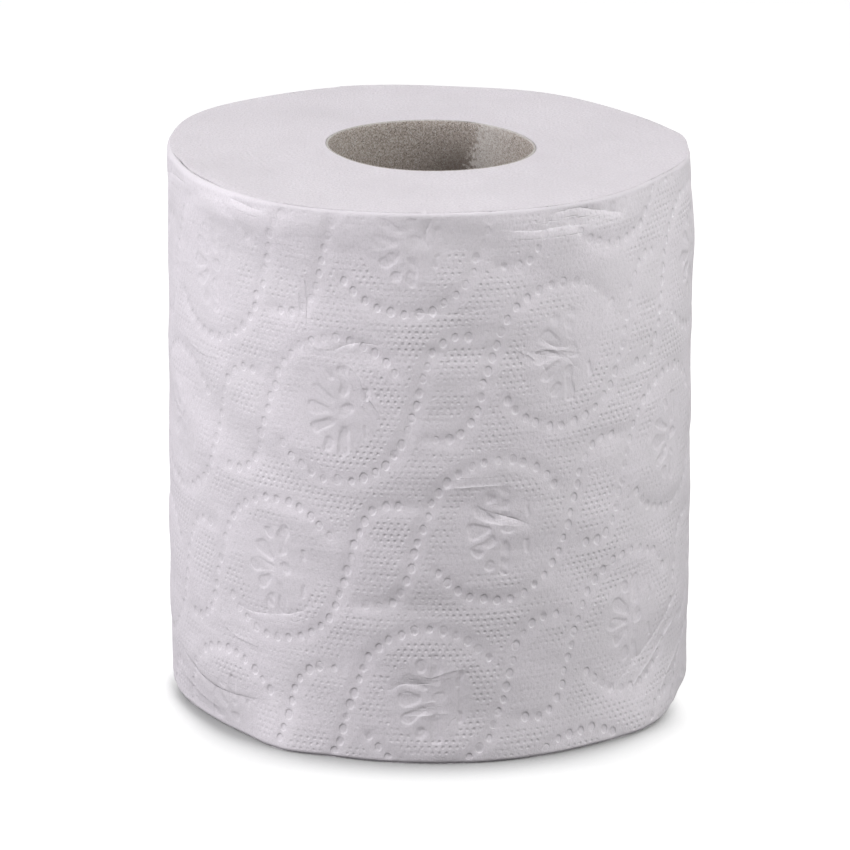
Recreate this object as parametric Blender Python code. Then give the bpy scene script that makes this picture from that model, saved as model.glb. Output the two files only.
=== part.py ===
"""Toilet paper roll standing on one end: the wound tissue, with its loose last edge, on a spiral-wound core.

Metres, +Z up along the roll's axis, origin on the floor under the axis. A place round the roll is a
turn, from 0 to 1: 0 faces the front (-Y), 0.25 the right (+X), 0.5 the back and 0.75 the left.
"""

import math

import bmesh
import bpy
from mathutils import Vector
from mathutils.geometry import delaunay_2d_cdt

MM = 0.001

# Driving sizes of the whole roll
ROLL_WIDTH = 100.0 * MM
ROLL_RADIUS = 47.0 * MM
CORE_BORE_RADIUS = 18.0 * MM
CORE_WALL = 0.7 * MM
SEAT_GAP = 0.3 * MM
BORE_OVAL = 0.5 * MM
OVAL_TURN_SHARE = 0.13
BORE_SQUARENESS = 0.2 * MM
SQUARE_TURN_SHARE = 0.19

# The outer turn: its soft edges and the step where the last sheet ends, at the back
EDGE_RADIUS = 0.8 * MM
TAIL_STEP = 0.4 * MM
TAIL_TURN_SHARE = 0.56
OUTER_COLUMNS = 52
TAIL_ROWS = 8

# The embossing, laid out on the flat sheet: rings drawn in dots, four-sided panels between them,
# and a flower in each ring. A row of rings climbs as it goes round, and the next row starts to its right.
RING_STEP = 40.4 * MM
RING_CLIMB = 9.4 * MM
ROW_SHIFT = 12.0 * MM
ROW_PITCH = 30.7 * MM
FIRST_RING_HEIGHT = 12.0 * MM
RING_RADIUS = 12.8 * MM
DOT_PITCH = 2.45 * MM
DOT_WIDTH = 1.7 * MM
DOT_DEPTH = 0.6 * MM
FLOWER_RADIUS = 8.2 * MM
FLOWER_DEPTH = 0.6 * MM
PATTERN_MARGIN = 0.6 * MM

# One dotted line, which its half-turned copy completes: along the panel's foot, up its side and on
# over the ring. Places from the ring's centre as shares of its radius, then the arc's ends in turns.
PANEL_LINE_SHARES = ((-1.90, -1.09), (-1.53, -1.07), (-1.28, -0.79), (-1.16, -0.38), (-1.05, 0.02))
RING_ARC_TURN_SHARES = (0.467, 0.096)
ARC_STEPS = 12
CURVE_STEPS = 8

# The flower: an eye, a petal that lies along the sheet and two petals that are mirrored across it. Each
# petal has its root, its tip and its width as shares of the flower's radius, and the eye has its place
# and its reach. A petal's rim and its deepest place are shares of its length and its width.
EYE_SHARES = (0.22, 0.03, 0.14)
MIDDLE_PETAL_SHARES = ((-0.13, 0.0), (-0.68, 0.0), 0.33)
MIRRORED_PETAL_SHARES = (
    ((0.16, 0.29), (0.16, 1.0), 0.24),
    ((-0.07, 0.19), (-0.53, 0.50), 0.26),
)
PETAL_RIM_SHARES = ((0.0, 0.0), (0.62, 0.5), (1.0, 0.25), (1.0, -0.25), (0.62, -0.5))
PETAL_HOLLOW_SHARE = 0.62

# The turns that show on both ends, as one spiral groove
GROOVE_TURNS = 5
GROOVE_STEPS = 36
GROOVE_DEPTH = 0.35 * MM
GROOVE_WIDTH = 0.8 * MM
GROOVE_MARGIN = 2.0 * MM
GROOVE_FADE_SHARE = 0.06

# The spiral lap inside the core
CORE_COLUMNS = 40
CORE_ROWS = 8
CORE_LAP = 0.25 * MM
CORE_LEAD = 130.0 * MM
CORE_LAP_TURN_SHARE = 0.42

# How far handling has pressed the roll out of round: place round it, height as a share of the
# width, reach round and up, and depth as a share of the radius, negative where the turns bulge
DENT_SHARES = (
    (0.35, 1.0, 0.080, 0.40, 0.054),
    (0.17, 1.0, 0.045, 0.20, 0.034),
    (0.47, 1.0, 0.040, 0.30, 0.025),
    (0.66, 1.0, 0.055, 0.40, -0.042),
    (0.56, 1.0, 0.045, 0.30, -0.022),
    (0.92, 1.0, 0.070, 0.08, -0.026),
    (0.25, 1.0, 0.035, 0.05, 0.012),
    (0.25, 0.83, 0.035, 0.10, -0.014),
    (0.24, 0.10, 0.070, 0.60, -0.0125),
    (0.75, 0.25, 0.090, 0.40, -0.012),
    (0.85, 0.0, 0.040, 0.10, 0.042),
    (0.905, 0.0, 0.022, 0.06, -0.022),
    (0.16, 0.0, 0.030, 0.08, -0.034),
    (0.208, 0.0, 0.022, 0.06, 0.026),
)

POINT_TOLERANCE = 0.0001 * MM
WELD_DISTANCE = 0.01 * MM
SHARP_ANGLE = math.radians(50)

TISSUE_COLOUR = (0.76, 0.72, 0.765, 1.0)
TISSUE_ROUGHNESS = 0.95
BOARD_COLOUR = (0.40, 0.36, 0.33, 1.0)
BOARD_ROUGHNESS = 0.9


def clear_scene():
    for old in list(bpy.data.objects):
        bpy.data.objects.remove(old, do_unlink=True)


def matte(name, colour, roughness):
    material = bpy.data.materials.new(name)
    material.use_nodes = True
    shader = material.node_tree.nodes["Principled BSDF"]
    shader.inputs["Base Color"].default_value = colour
    shader.inputs["Roughness"].default_value = roughness
    shader.inputs["Metallic"].default_value = 0.0
    material.diffuse_color = colour
    return material


def at_turn(turn, radius, height):
    """The point at this place round the axis, this far from it and this high."""
    angle = math.tau * turn
    return Vector((radius * math.sin(angle), -radius * math.cos(angle), height))


def turn_between(turn, other):
    """The shorter way from one place round the roll to another, in turns."""
    return (turn - other + 0.5) % 1.0 - 0.5


def roll_radius(turn, height):
    """The pressed roll's radius before its last sheet's thickness is added."""
    radius = ROLL_RADIUS
    for place, level, reach_round, reach_up, depth in DENT_SHARES:
        across = turn_between(turn, place) / reach_round
        along = (height / ROLL_WIDTH - level) / reach_up
        radius -= ROLL_RADIUS * depth * math.exp(-across * across - along * along)
    return radius


def oval(turn):
    """How far the core's pressed section leaves a true circle here: oval, and a little square."""
    long_way = BORE_OVAL * math.cos(2 * math.tau * (turn - OVAL_TURN_SHARE))
    return long_way + BORE_SQUARENESS * math.cos(4 * math.tau * (turn - SQUARE_TURN_SHARE))


def edge_inset(height):
    """How far the soft edge has turned in at this height."""
    inside = min(height, ROLL_WIDTH - height)
    short = max(0.0, EDGE_RADIUS - inside)
    return EDGE_RADIUS - math.sqrt(max(0.0, EDGE_RADIUS * EDGE_RADIUS - short * short))


def outer_skin(along, height, depth):
    """A place on the outer turn: how far along the last sheet, as a share of a turn, how high and how deep."""
    turn = TAIL_TURN_SHARE + along
    radius = roll_radius(turn, height) + TAIL_STEP * (along - 0.5)
    return at_turn(turn, radius - edge_inset(height) - depth, height)


def core_skin(along, height, depth):
    """A place on the core's inner face, wound so that the strip's two edges meet in a spiral lap."""
    turn = CORE_LAP_TURN_SHARE + height / CORE_LEAD + along
    return at_turn(turn, CORE_BORE_RADIUS + oval(turn) + CORE_LAP * along - depth, height)


def inside_loop(point, loop):
    """Whether a flat point lies inside a closed loop of flat points."""
    inside = False
    for (ax, ay), (bx, by) in zip(loop, loop[1:] + loop[:1]):
        if (ay > point.y) != (by > point.y) and point.x < ax + (bx - ax) * (point.y - ay) / (by - ay):
            inside = not inside
    return inside


def fill_flat(mesh, points, edges, place, keep=None):
    """Fills a flat region with triangles and places them: points hold x, y and depth, edges its lines."""
    flat = [Vector((x, y)) for x, y, _ in points]
    corners, _, faces, sources, _, _ = delaunay_2d_cdt(flat, edges, [], 1, POINT_TOLERANCE, True)
    placed = []
    for corner, source in zip(corners, sources):
        depth = points[source[0]][2] if source else 0.0
        placed.append(mesh.verts.new(place(corner.x, corner.y, depth)))
    for face in faces:
        middle = sum((corners[i] for i in face), Vector((0.0, 0.0))) / len(face)
        if keep is None or keep(middle):
            mesh.faces.new([placed[i] for i in face])


def chain(first, count, closed=False):
    """The edges that join points made one after another."""
    edges = [(first + i, first + i + 1) for i in range(count - 1)]
    return edges + [(first + count - 1, first)] if closed else edges


def sheet_lines(girth, rows, columns, full_rows):
    """A flat sheet's points and lines: each row has its two ends, and a full row has every column's point."""
    points = []
    edges = []
    ends = []
    for row in rows:
        count = columns if row in full_rows else 1
        ends.append((len(points), len(points) + count))
        if count == columns:
            edges += chain(len(points), columns + 1)
        points += [(girth * i / count, row, 0.0) for i in range(count + 1)]
    for side in (0, 1):
        firsts = [pair[side] for pair in ends]
        edges += list(zip(firsts, firsts[1:]))
    return points, edges


def wrap_sheet(mesh, girth, points, edges, skin):
    """Fills the flat sheet and winds it round: its length becomes shares of a turn."""
    fill_flat(mesh, points, edges, lambda x, y, depth: skin(x / girth, y, depth))


def close_step(mesh, rows, skin):
    """Joins the sheet's two ends by the narrow wall of the step between them."""
    for low, high in zip(rows, rows[1:]):
        corners = (skin(0.0, low, 0.0), skin(1.0, low, 0.0), skin(1.0, high, 0.0), skin(0.0, high, 0.0))
        mesh.faces.new([mesh.verts.new(corner) for corner in corners])


def skin_loop(skin, height, columns):
    """The flat outline in which a wrapped sheet meets an end face, with its step."""
    return [skin(i / columns, height, 0.0).xy[:] for i in range(columns + 1)]


def round_loop(radius, columns):
    """The flat outline of a round wall that follows the core's oval."""
    turns = [i / columns for i in range(columns)]
    return [at_turn(turn, radius + oval(turn), 0.0).xy[:] for turn in turns]


def cap(mesh, outer, inner, height, marks=(), mark_edges=()):
    """A flat ring between two loops at this height, with marks sunk into it."""
    into = 1.0 if height < ROLL_WIDTH / 2 else -1.0

    def place(x, y, depth):
        return Vector((x, y, height + into * depth))

    def in_ring(point):
        return inside_loop(point, outer) and not inside_loop(point, inner)

    points = [(x, y, 0.0) for x, y in outer + inner]
    edges = chain(0, len(outer), closed=True) + chain(len(outer), len(inner), closed=True)
    edges += [(a + len(points), b + len(points)) for a, b in mark_edges]
    points += marks
    fill_flat(mesh, points, edges, place, in_ring)


def wall(mesh, loop):
    """The upright wall over a flat loop, from one end of the roll to the other."""
    for (ax, ay), (bx, by) in zip(loop, loop[1:] + loop[:1]):
        corners = ((ax, ay, 0.0), (bx, by, 0.0), (bx, by, ROLL_WIDTH), (ax, ay, ROLL_WIDTH))
        mesh.faces.new([mesh.verts.new(corner) for corner in corners])


def turn_groove(height):
    """The spiral groove between turns on an end: it follows the pressed outline outside and the core inside."""
    marks = []
    edges = []
    steps = GROOVE_TURNS * GROOVE_STEPS
    bore = CORE_BORE_RADIUS + CORE_WALL + SEAT_GAP
    for i in range(steps + 1):
        done = i / steps
        turn = TAIL_TURN_SHARE + done * GROOVE_TURNS
        inner = bore + oval(turn) + GROOVE_MARGIN
        outer = roll_radius(turn, height) - EDGE_RADIUS - GROOVE_MARGIN
        middle = outer + (inner - outer) * done
        fade = min(1.0, done / GROOVE_FADE_SHARE, (1.0 - done) / GROOVE_FADE_SHARE)
        half = GROOVE_WIDTH / 2
        for radius, depth in ((middle - half, 0.0), (middle, GROOVE_DEPTH * fade), (middle + half, 0.0)):
            x, y, _ = at_turn(turn, radius, 0.0)
            marks.append((x, y, depth))
    for rail in range(3):
        firsts = [rail + 3 * i for i in range(steps + 1)]
        edges += list(zip(firsts, firsts[1:]))
    return marks, edges


def smooth_curve(places):
    """Places on one smooth curve through the given ones, each stretch in even steps."""
    ends = [places[0] * 2 - places[1]] + list(places) + [places[-1] * 2 - places[-2]]
    curve = []
    for before, start, end, after in zip(ends, ends[1:], ends[2:], ends[3:]):
        for i in range(CURVE_STEPS):
            t = i / CURVE_STEPS
            bend = (before * 2 - start * 5 + end * 4 - after) * t * t
            bend += (start * 3 - before - end * 3 + after) * t * t * t
            curve.append(start + ((end - before) * t + bend) / 2)
    return curve + [places[-1]]


def dotted_line():
    """The dotted line's route from its ring's centre: panel foot, panel side and the arc over the ring."""
    panel = [Vector(share) * RING_RADIUS for share in PANEL_LINE_SHARES]
    start, end = RING_ARC_TURN_SHARES
    angles = [math.tau * (start + (end - start) * i / ARC_STEPS) for i in range(ARC_STEPS + 1)]
    arc = [Vector((math.cos(angle), math.sin(angle))) * RING_RADIUS for angle in angles]
    return smooth_curve(panel + arc)


def even_places(route, pitch):
    """Places half a pitch apart along a route, each with the direction across it."""
    places = []
    due = 0.0
    for start, end in zip(route, route[1:]):
        length = (end - start).length
        along = (end - start) / length
        while due <= length:
            places.append((start + along * due, Vector((-along.y, along.x))))
            due += pitch / 2
        due -= length
    return places


def on_sheet(place, girth):
    """Whether a place lies on the sheet clear of its soft edges and its two ends."""
    margin = EDGE_RADIUS + PATTERN_MARGIN
    return margin < place.x < girth - margin and margin < place.y < ROLL_WIDTH - margin


def press_dots(points, edges, places, girth):
    """Presses a line of dots: square pits that share a ridge with the next, where they lie on the sheet."""
    rims = [None] * len(places)
    for i in range(1, len(places) - 1, 2):
        corners = [place + across * side * DOT_WIDTH / 2
                   for place, across in (places[i - 1], places[i + 1]) for side in (-1, 1)]
        if not all(on_sheet(corner, girth) for corner in corners):
            continue
        for rung in (i - 1, i + 1):
            if rims[rung] is None:
                place, across = places[rung]
                rims[rung] = len(points)
                edges.append((len(points), len(points) + 1))
                points += [(*(place + across * side * DOT_WIDTH / 2), 0.0) for side in (-1, 1)]
        edges += [(rims[i - 1] + side, rims[i + 1] + side) for side in (0, 1)]
        points.append((*places[i][0], DOT_DEPTH))


def flower_hollows():
    """The flower's petals and its eye: each hollow's rim and its deepest place, from the ring's centre."""
    petals = [MIDDLE_PETAL_SHARES]
    for (root_x, root_y), (tip_x, tip_y), width in MIRRORED_PETAL_SHARES:
        petals += [((root_x, root_y * side), (tip_x, tip_y * side), width) for side in (1, -1)]
    hollows = []
    for root_share, tip_share, width in petals:
        root = Vector(root_share) * FLOWER_RADIUS
        run = Vector(tip_share) * FLOWER_RADIUS - root
        across = Vector((-run.y, run.x)).normalized() * FLOWER_RADIUS * width
        rim = [root + run * along + across * aside for along, aside in PETAL_RIM_SHARES]
        hollows.append((rim, root + run * PETAL_HOLLOW_SHARE))
    eye_x, eye_y, reach = EYE_SHARES
    eye = Vector((eye_x, eye_y)) * FLOWER_RADIUS
    corners = [Vector(corner) * FLOWER_RADIUS * reach for corner in ((1, 0), (0, 1), (-1, 0), (0, -1))]
    hollows.append(([eye + corner for corner in corners], eye))
    return hollows


def press_flower(points, edges, hollows, centre, girth):
    """Presses a flower's hollows, where they lie on the sheet."""
    for rim, deepest in hollows:
        placed = [centre + place for place in rim]
        if not all(on_sheet(place, girth) for place in placed):
            continue
        edges += chain(len(points), len(placed), closed=True)
        points += [(*place, 0.0) for place in placed]
        points.append((*(centre + deepest), FLOWER_DEPTH))


def emboss(points, edges, girth):
    """Presses the whole pattern into the flat sheet, laid out from the roll's front."""
    line = even_places(dotted_line(), DOT_PITCH)
    hollows = flower_hollows()
    front = girth * (1.0 - TAIL_TURN_SHARE)
    across_count = math.ceil((girth + ROLL_WIDTH) / RING_STEP)
    row_count = math.ceil((ROLL_WIDTH + girth * RING_CLIMB / RING_STEP) / ROW_PITCH)
    for row in range(-row_count, row_count + 1):
        for step in range(-across_count, across_count + 1):
            centre = Vector((
                front + step * RING_STEP + row * ROW_SHIFT,
                FIRST_RING_HEIGHT + step * RING_CLIMB + row * ROW_PITCH,
            ))
            for half_turn in (1, -1):
                places = [(centre + place * half_turn, across) for place, across in line]
                press_dots(points, edges, places, girth)
            press_flower(points, edges, hollows, centre, girth)


def edge_rows():
    """Heights of the lines round the two soft edges."""
    turned_in = EDGE_RADIUS * (1.0 - math.cos(math.pi / 4))
    low = [0.0, turned_in, EDGE_RADIUS]
    return low + [ROLL_WIDTH - height for height in reversed(low)]


def between_rows(rows, parts):
    """Heights that divide the space between the two middle rows evenly."""
    low, high = rows[len(rows) // 2 - 1:len(rows) // 2 + 1]
    return [low + (high - low) * i / parts for i in range(1, parts)]


def finish(mesh, name, material):
    """Welds the pieces of skin into one closed solid and makes it a smooth-shaded object."""
    bmesh.ops.remove_doubles(mesh, verts=mesh.verts, dist=WELD_DISTANCE)
    bmesh.ops.recalc_face_normals(mesh, faces=mesh.faces)
    data = bpy.data.meshes.new(name)
    mesh.to_mesh(data)
    mesh.free()
    data.materials.append(material)
    data.shade_smooth()
    data.set_sharp_from_angle(angle=SHARP_ANGLE)
    solid = bpy.data.objects.new(name, data)
    bpy.context.scene.collection.objects.link(solid)
    return solid


def make_paper_roll():
    mesh = bmesh.new()
    girth = math.tau * ROLL_RADIUS
    full_rows = edge_rows()
    rows = sorted(full_rows + between_rows(full_rows, TAIL_ROWS))
    points, edges = sheet_lines(girth, rows, OUTER_COLUMNS, full_rows)
    emboss(points, edges, girth)
    wrap_sheet(mesh, girth, points, edges, outer_skin)
    close_step(mesh, rows, outer_skin)
    bore = round_loop(CORE_BORE_RADIUS + CORE_WALL + SEAT_GAP, CORE_COLUMNS)
    for height in (0.0, ROLL_WIDTH):
        cap(mesh, skin_loop(outer_skin, height, OUTER_COLUMNS), bore, height, *turn_groove(height))
    wall(mesh, bore)
    return finish(mesh, "paper_roll", matte("tissue", TISSUE_COLOUR, TISSUE_ROUGHNESS))


def make_core_tube():
    mesh = bmesh.new()
    girth = math.tau * CORE_BORE_RADIUS
    rows = [ROLL_WIDTH * i / CORE_ROWS for i in range(CORE_ROWS + 1)]
    points, edges = sheet_lines(girth, rows, CORE_COLUMNS, rows)
    wrap_sheet(mesh, girth, points, edges, core_skin)
    close_step(mesh, rows, core_skin)
    outside = round_loop(CORE_BORE_RADIUS + CORE_WALL, CORE_COLUMNS)
    for height in (0.0, ROLL_WIDTH):
        cap(mesh, outside, skin_loop(core_skin, height, CORE_COLUMNS), height)
    wall(mesh, outside)
    return finish(mesh, "core_tube", matte("grey board", BOARD_COLOUR, BOARD_ROUGHNESS))


def main():
    clear_scene()
    root = bpy.data.objects.new("toilet_roll", None)
    bpy.context.scene.collection.objects.link(root)
    for solid in (make_paper_roll(), make_core_tube()):
        solid.parent = root


main()
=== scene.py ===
"""Dresses the toilet paper roll: embossed outer turn, wound ends, board core, floor, lamps and camera."""

import logging
import math
from dataclasses import dataclass, field
from enum import Enum
from typing import Callable, Sequence

import bmesh
import bpy
import numpy as np
from mathutils import Matrix, Vector
from mathutils.geometry import delaunay_2d_cdt


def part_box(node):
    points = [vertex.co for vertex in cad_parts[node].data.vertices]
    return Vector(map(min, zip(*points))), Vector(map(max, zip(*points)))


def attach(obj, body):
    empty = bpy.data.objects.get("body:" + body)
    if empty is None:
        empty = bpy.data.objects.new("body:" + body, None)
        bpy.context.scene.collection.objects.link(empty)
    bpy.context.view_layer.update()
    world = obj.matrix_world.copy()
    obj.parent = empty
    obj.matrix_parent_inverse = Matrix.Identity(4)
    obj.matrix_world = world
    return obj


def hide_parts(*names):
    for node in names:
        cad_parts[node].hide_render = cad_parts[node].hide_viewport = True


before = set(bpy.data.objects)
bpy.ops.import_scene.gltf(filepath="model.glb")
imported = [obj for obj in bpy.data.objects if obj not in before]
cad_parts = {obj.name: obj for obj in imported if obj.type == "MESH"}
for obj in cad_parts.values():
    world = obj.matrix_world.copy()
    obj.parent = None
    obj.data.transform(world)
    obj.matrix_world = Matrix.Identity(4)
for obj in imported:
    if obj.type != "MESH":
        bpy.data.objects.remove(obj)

LOG = logging.getLogger("toilet_roll")

MM = 0.001
ROOT = "root"

Array = np.ndarray
Places = Sequence[tuple[float, float]]


class Slot(Enum):
    """The record's material slots."""

    TISSUE = "tissue"
    BOARD = "core_board"


class End(Enum):
    """The two ends of the standing roll: the height of each as a share of the sheet's width."""

    STANDING = 0.0
    OPEN = 1.0


def smooth_step(value: Array) -> Array:
    """Eases 0 to 1 with level ends, and holds at both outside that."""
    held = np.clip(value, 0.0, 1.0)
    return held * held * (3.0 - 2.0 * held)


def shorter_turn(turn: Array, other: float) -> Array:
    """The shorter way from one place round the roll to another, in turns."""
    return (turn - other + 0.5) % 1.0 - 0.5


# Shape of the roll


@dataclass(frozen=True)
class Dent:
    """A place where handling has pressed the roll in, or let it bulge, in shares of the roll's sizes."""

    turn: float
    height: float
    reach_round: float
    reach_up: float
    depth: float


@dataclass(frozen=True)
class RollForm:
    """The pressed roll's form, as in the solid that it stands for."""

    width: float
    radius: float = 47.0 * MM
    tail_step: float = 0.4 * MM
    tail_turn: float = 0.56
    bore_radius: float = 18.0 * MM
    core_wall: float = 0.7 * MM
    glue_gap: float = 0.03 * MM
    shoulder_reach: float = 2.5 * MM
    shoulder_fall: float = 3.0 * MM
    shoulders: tuple[tuple[float, float, float], ...] = ((0.85, 0.06, 0.45 * MM),)
    bore_oval: float = 0.5 * MM
    oval_turn: float = 0.13
    bore_squareness: float = 0.2 * MM
    square_turn: float = 0.19
    dents: tuple[Dent, ...] = (
        Dent(0.352, 1.0, 0.074, 0.40, 0.064),
        Dent(0.17, 1.0, 0.045, 0.20, 0.034),
        Dent(0.47, 1.0, 0.040, 0.30, 0.0245),
        Dent(0.50, 1.0, 0.050, 0.30, 0.020),
        Dent(0.667, 1.0, 0.055, 0.40, -0.044),
        Dent(0.56, 1.0, 0.045, 0.30, -0.016),
        Dent(0.92, 1.0, 0.070, 0.08, -0.026),
        Dent(0.25, 1.0, 0.035, 0.05, 0.0104),
        Dent(0.277, 1.0, 0.015, 0.15, -0.013),
        Dent(0.25, 0.83, 0.035, 0.10, -0.0105),
        Dent(0.24, 0.10, 0.070, 0.60, -0.0125),
        Dent(0.75, 0.25, 0.090, 0.40, -0.012),
        Dent(0.841, 0.0, 0.040, 0.10, 0.016),
        Dent(0.91, 0.0, 0.022, 0.06, -0.032),
        Dent(0.147, 0.0, 0.030, 0.08, -0.026),
        Dent(0.214, 0.0, 0.026, 0.10, 0.019),
        Dent(0.082, 0.0, 0.140, 0.07, -0.018),
        Dent(0.775, 0.0, 0.025, 0.10, 0.004),
        Dent(0.24, 0.0, 0.035, 0.12, 0.003),
    )

    @property
    def girth(self) -> float:
        """The length of the outer turn, laid flat."""
        return math.tau * self.radius

    def pressed(self, turn: Array, height: Array) -> Array:
        """The roll's radius.

        Args:
            turn: place round the roll, 0 at the front and 0.25 at the right.
            height: height above the floor, in metres.

        Returns:
            The radius at each place, in metres.
        """
        radius = np.full(np.broadcast(turn, height).shape, self.radius)
        for dent in self.dents:
            across = shorter_turn(turn, dent.turn) / dent.reach_round
            along = (height / self.width - dent.height) / dent.reach_up
            radius = radius - self.radius * dent.depth * np.exp(-across**2 - along**2)
        return radius

    def oval(self, turn: Array) -> Array:
        """How far the core's pressed section leaves a true circle: oval, and a little square."""
        long_way = self.bore_oval * np.cos(2.0 * math.tau * (turn - self.oval_turn))
        return long_way + self.bore_squareness * np.cos(4.0 * math.tau * (turn - self.square_turn))

    def outer(self, along: Array, height: Array) -> Array:
        """The outer turn's radius, along the last sheet in turns from its covered start."""
        turn = self.tail_turn + along
        return self.pressed(turn, height) + self.tail_step * (along - 0.5)

    def shoulder(self, turn: Array, inward: Array) -> Array:
        """How far the open end's edge has been rubbed down, by the place round and the way in from the edge."""
        depth = np.zeros(np.shape(turn))
        for place, reach, drop in self.shoulders:
            depth = depth + drop * np.exp(-((shorter_turn(turn, place) / reach) ** 2))
        return depth * np.clip(1.0 - inward / self.shoulder_reach, 0.0, 1.0) ** 2

    def paper_bore(self, turn: Array) -> Array:
        """The radius of the paper's own bore, in which the core sits."""
        return self.bore_radius + self.core_wall + self.glue_gap + self.oval(turn)


def place_round(turn: Array, radius: Array, height: Array) -> Array:
    """Points round the axis.

    Args:
        turn: place round the roll, in turns.
        radius: distance from the axis.
        height: height above the floor.

    Returns:
        An array with x, y and z in its last axis.
    """
    angle = math.tau * turn
    return np.stack(np.broadcast_arrays(radius * np.sin(angle), -radius * np.cos(angle), height), axis=-1)


# Mesh making


@dataclass
class MeshParts:
    """Points and faces gathered into one mesh."""

    points: list[Array] = field(default_factory=list)
    faces: list[Array] = field(default_factory=list)
    count: int = 0

    def add(self, points: Array, faces: Array) -> None:
        """Adds points and the faces between them, with three or four corners each."""
        self.points.append(points.reshape(-1, 3))
        self.faces.append(faces + self.count)
        self.count += len(self.points[-1])

    def make(self, name: str, weld: float = 0.002 * MM, normals: Array | None = None) -> bpy.types.Object:
        """Makes the object.

        Args:
            name: the piece's name.
            weld: points closer than this become one.
            normals: the shading normal of each of the first points, or none for Blender's own.

        Returns:
            The new object, smooth shaded and linked to the scene.
        """
        mesh = bpy.data.meshes.new(name)
        points = np.concatenate(self.points)
        loops = np.concatenate([faces.reshape(-1) for faces in self.faces])
        sizes = np.concatenate([np.full(len(faces), faces.shape[1]) for faces in self.faces])
        mesh.vertices.add(len(points))
        mesh.vertices.foreach_set("co", points.astype(np.float32).reshape(-1))
        mesh.loops.add(len(loops))
        mesh.loops.foreach_set("vertex_index", loops.astype(np.int32))
        mesh.polygons.add(len(sizes))
        mesh.polygons.foreach_set("loop_start", np.concatenate([[0], np.cumsum(sizes)[:-1]]).astype(np.int32))
        mesh.update(calc_edges=True)
        mesh.validate()
        mesh.shade_smooth()
        if normals is None:
            work = bmesh.new()
            work.from_mesh(mesh)
            bmesh.ops.remove_doubles(work, verts=work.verts, dist=weld)
            work.to_mesh(mesh)
            work.free()
            mesh.set_sharp_from_angle(angle=math.radians(50))
        else:
            own = np.empty(len(points) * 3, np.float32)
            mesh.vertices.foreach_get("normal", own)
            own = own.reshape(-1, 3)
            own[: len(normals)] = normals
            mesh.normals_split_custom_set_from_vertices(own)
        piece = bpy.data.objects.new(name, mesh)
        bpy.context.scene.collection.objects.link(piece)
        return piece


def grid_faces(rows: int, columns: int, closed: bool = False, flip: bool = False) -> Array:
    """The four-sided faces of a grid of points.

    Args:
        rows: how many rows of points.
        columns: how many points in a row.
        closed: whether the last column joins the first.
        flip: whether the faces look the other way.

    Returns:
        One row of four point numbers for each face.
    """
    wide = columns if closed else columns - 1
    row, column = np.meshgrid(np.arange(rows - 1), np.arange(wide), indexing="ij")
    after = (column + 1) % columns
    corners = np.stack(
        [row * columns + column, row * columns + after, (row + 1) * columns + after, (row + 1) * columns + column],
        axis=-1,
    ).reshape(-1, 4)
    return corners[:, ::-1] if flip else corners


def grid_normals(points: Array) -> Array:
    """The normals of a grid of points, looking away from the axis."""
    down = np.gradient(points, axis=0)
    across = np.gradient(points, axis=1)
    normal = np.cross(across, down)
    return normal / np.linalg.norm(normal, axis=-1, keepdims=True)


# The pattern pressed into the paper


def smooth_route(places: Array, steps: int = 10) -> Array:
    """Places on one smooth curve through the given ones."""
    ends = np.concatenate([[2 * places[0] - places[1]], places, [2 * places[-1] - places[-2]]])
    stretches = []
    t = (np.arange(steps) / steps)[:, None]
    for before, start, end, after in zip(ends, ends[1:], ends[2:], ends[3:]):
        bend = (2 * before - 5 * start + 4 * end - after) * t**2 + (3 * start - before - 3 * end + after) * t**3
        stretches.append(start + ((end - before) * t + bend) / 2)
    return np.concatenate(stretches + [places[-1:]])


def even_places(route: Array, pitch: float, first: float = 0.0) -> Array:
    """Places an even pitch apart along a route, the first of them this far along it."""
    lengths = np.concatenate([[0.0], np.cumsum(np.linalg.norm(np.diff(route, axis=0), axis=1))])
    due = np.arange(first, lengths[-1], pitch)
    return np.stack([np.interp(due, lengths, route[:, i]) for i in range(2)], axis=1)


@dataclass(frozen=True)
class Petal:
    """One petal pressed into the paper, in millimetres from its ring's centre: round at root and tip."""

    root: tuple[float, float]
    tip: tuple[float, float]
    root_radius: float
    tip_radius: float

    def below(self) -> "Petal":
        """Its copy below the flower's middle line."""
        return Petal((self.root[0], -self.root[1]), (self.tip[0], -self.tip[1]), self.root_radius, self.tip_radius)

    def outside(self, x: Array, z: Array) -> Array:
        """How far outside the petal's outline places lie, less than zero within it, in millimetres."""
        along_x, along_z = self.tip[0] - self.root[0], self.tip[1] - self.root[1]
        from_x, from_z = x - self.root[0], z - self.root[1]
        length = max(along_x**2 + along_z**2, 1e-6)
        share = np.clip((from_x * along_x + from_z * along_z) / length, 0.0, 1.0)
        distance = np.hypot(from_x - share * along_x, from_z - share * along_z)
        return distance - (self.root_radius + (self.tip_radius - self.root_radius) * share)


PAIRED_PETALS: tuple[Petal, ...] = (
    Petal((1.3, 3.2), (1.3, 7.3), 0.70, 0.95),
    Petal((-1.3, 5.9), (-1.5, 6.5), 0.75, 0.85),
    Petal((-1.1, 1.9), (-3.5, 3.5), 0.60, 1.05),
    Petal((5.4, 2.5), (5.5, 4.2), 0.34, 0.38),
)
MIDDLE_PETALS: tuple[Petal, ...] = (
    Petal((-1.7, 0.0), (-4.2, 0.0), 0.60, 1.35),
    Petal((1.7, 0.2), (2.0, 0.3), 0.95, 0.95),
)


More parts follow.
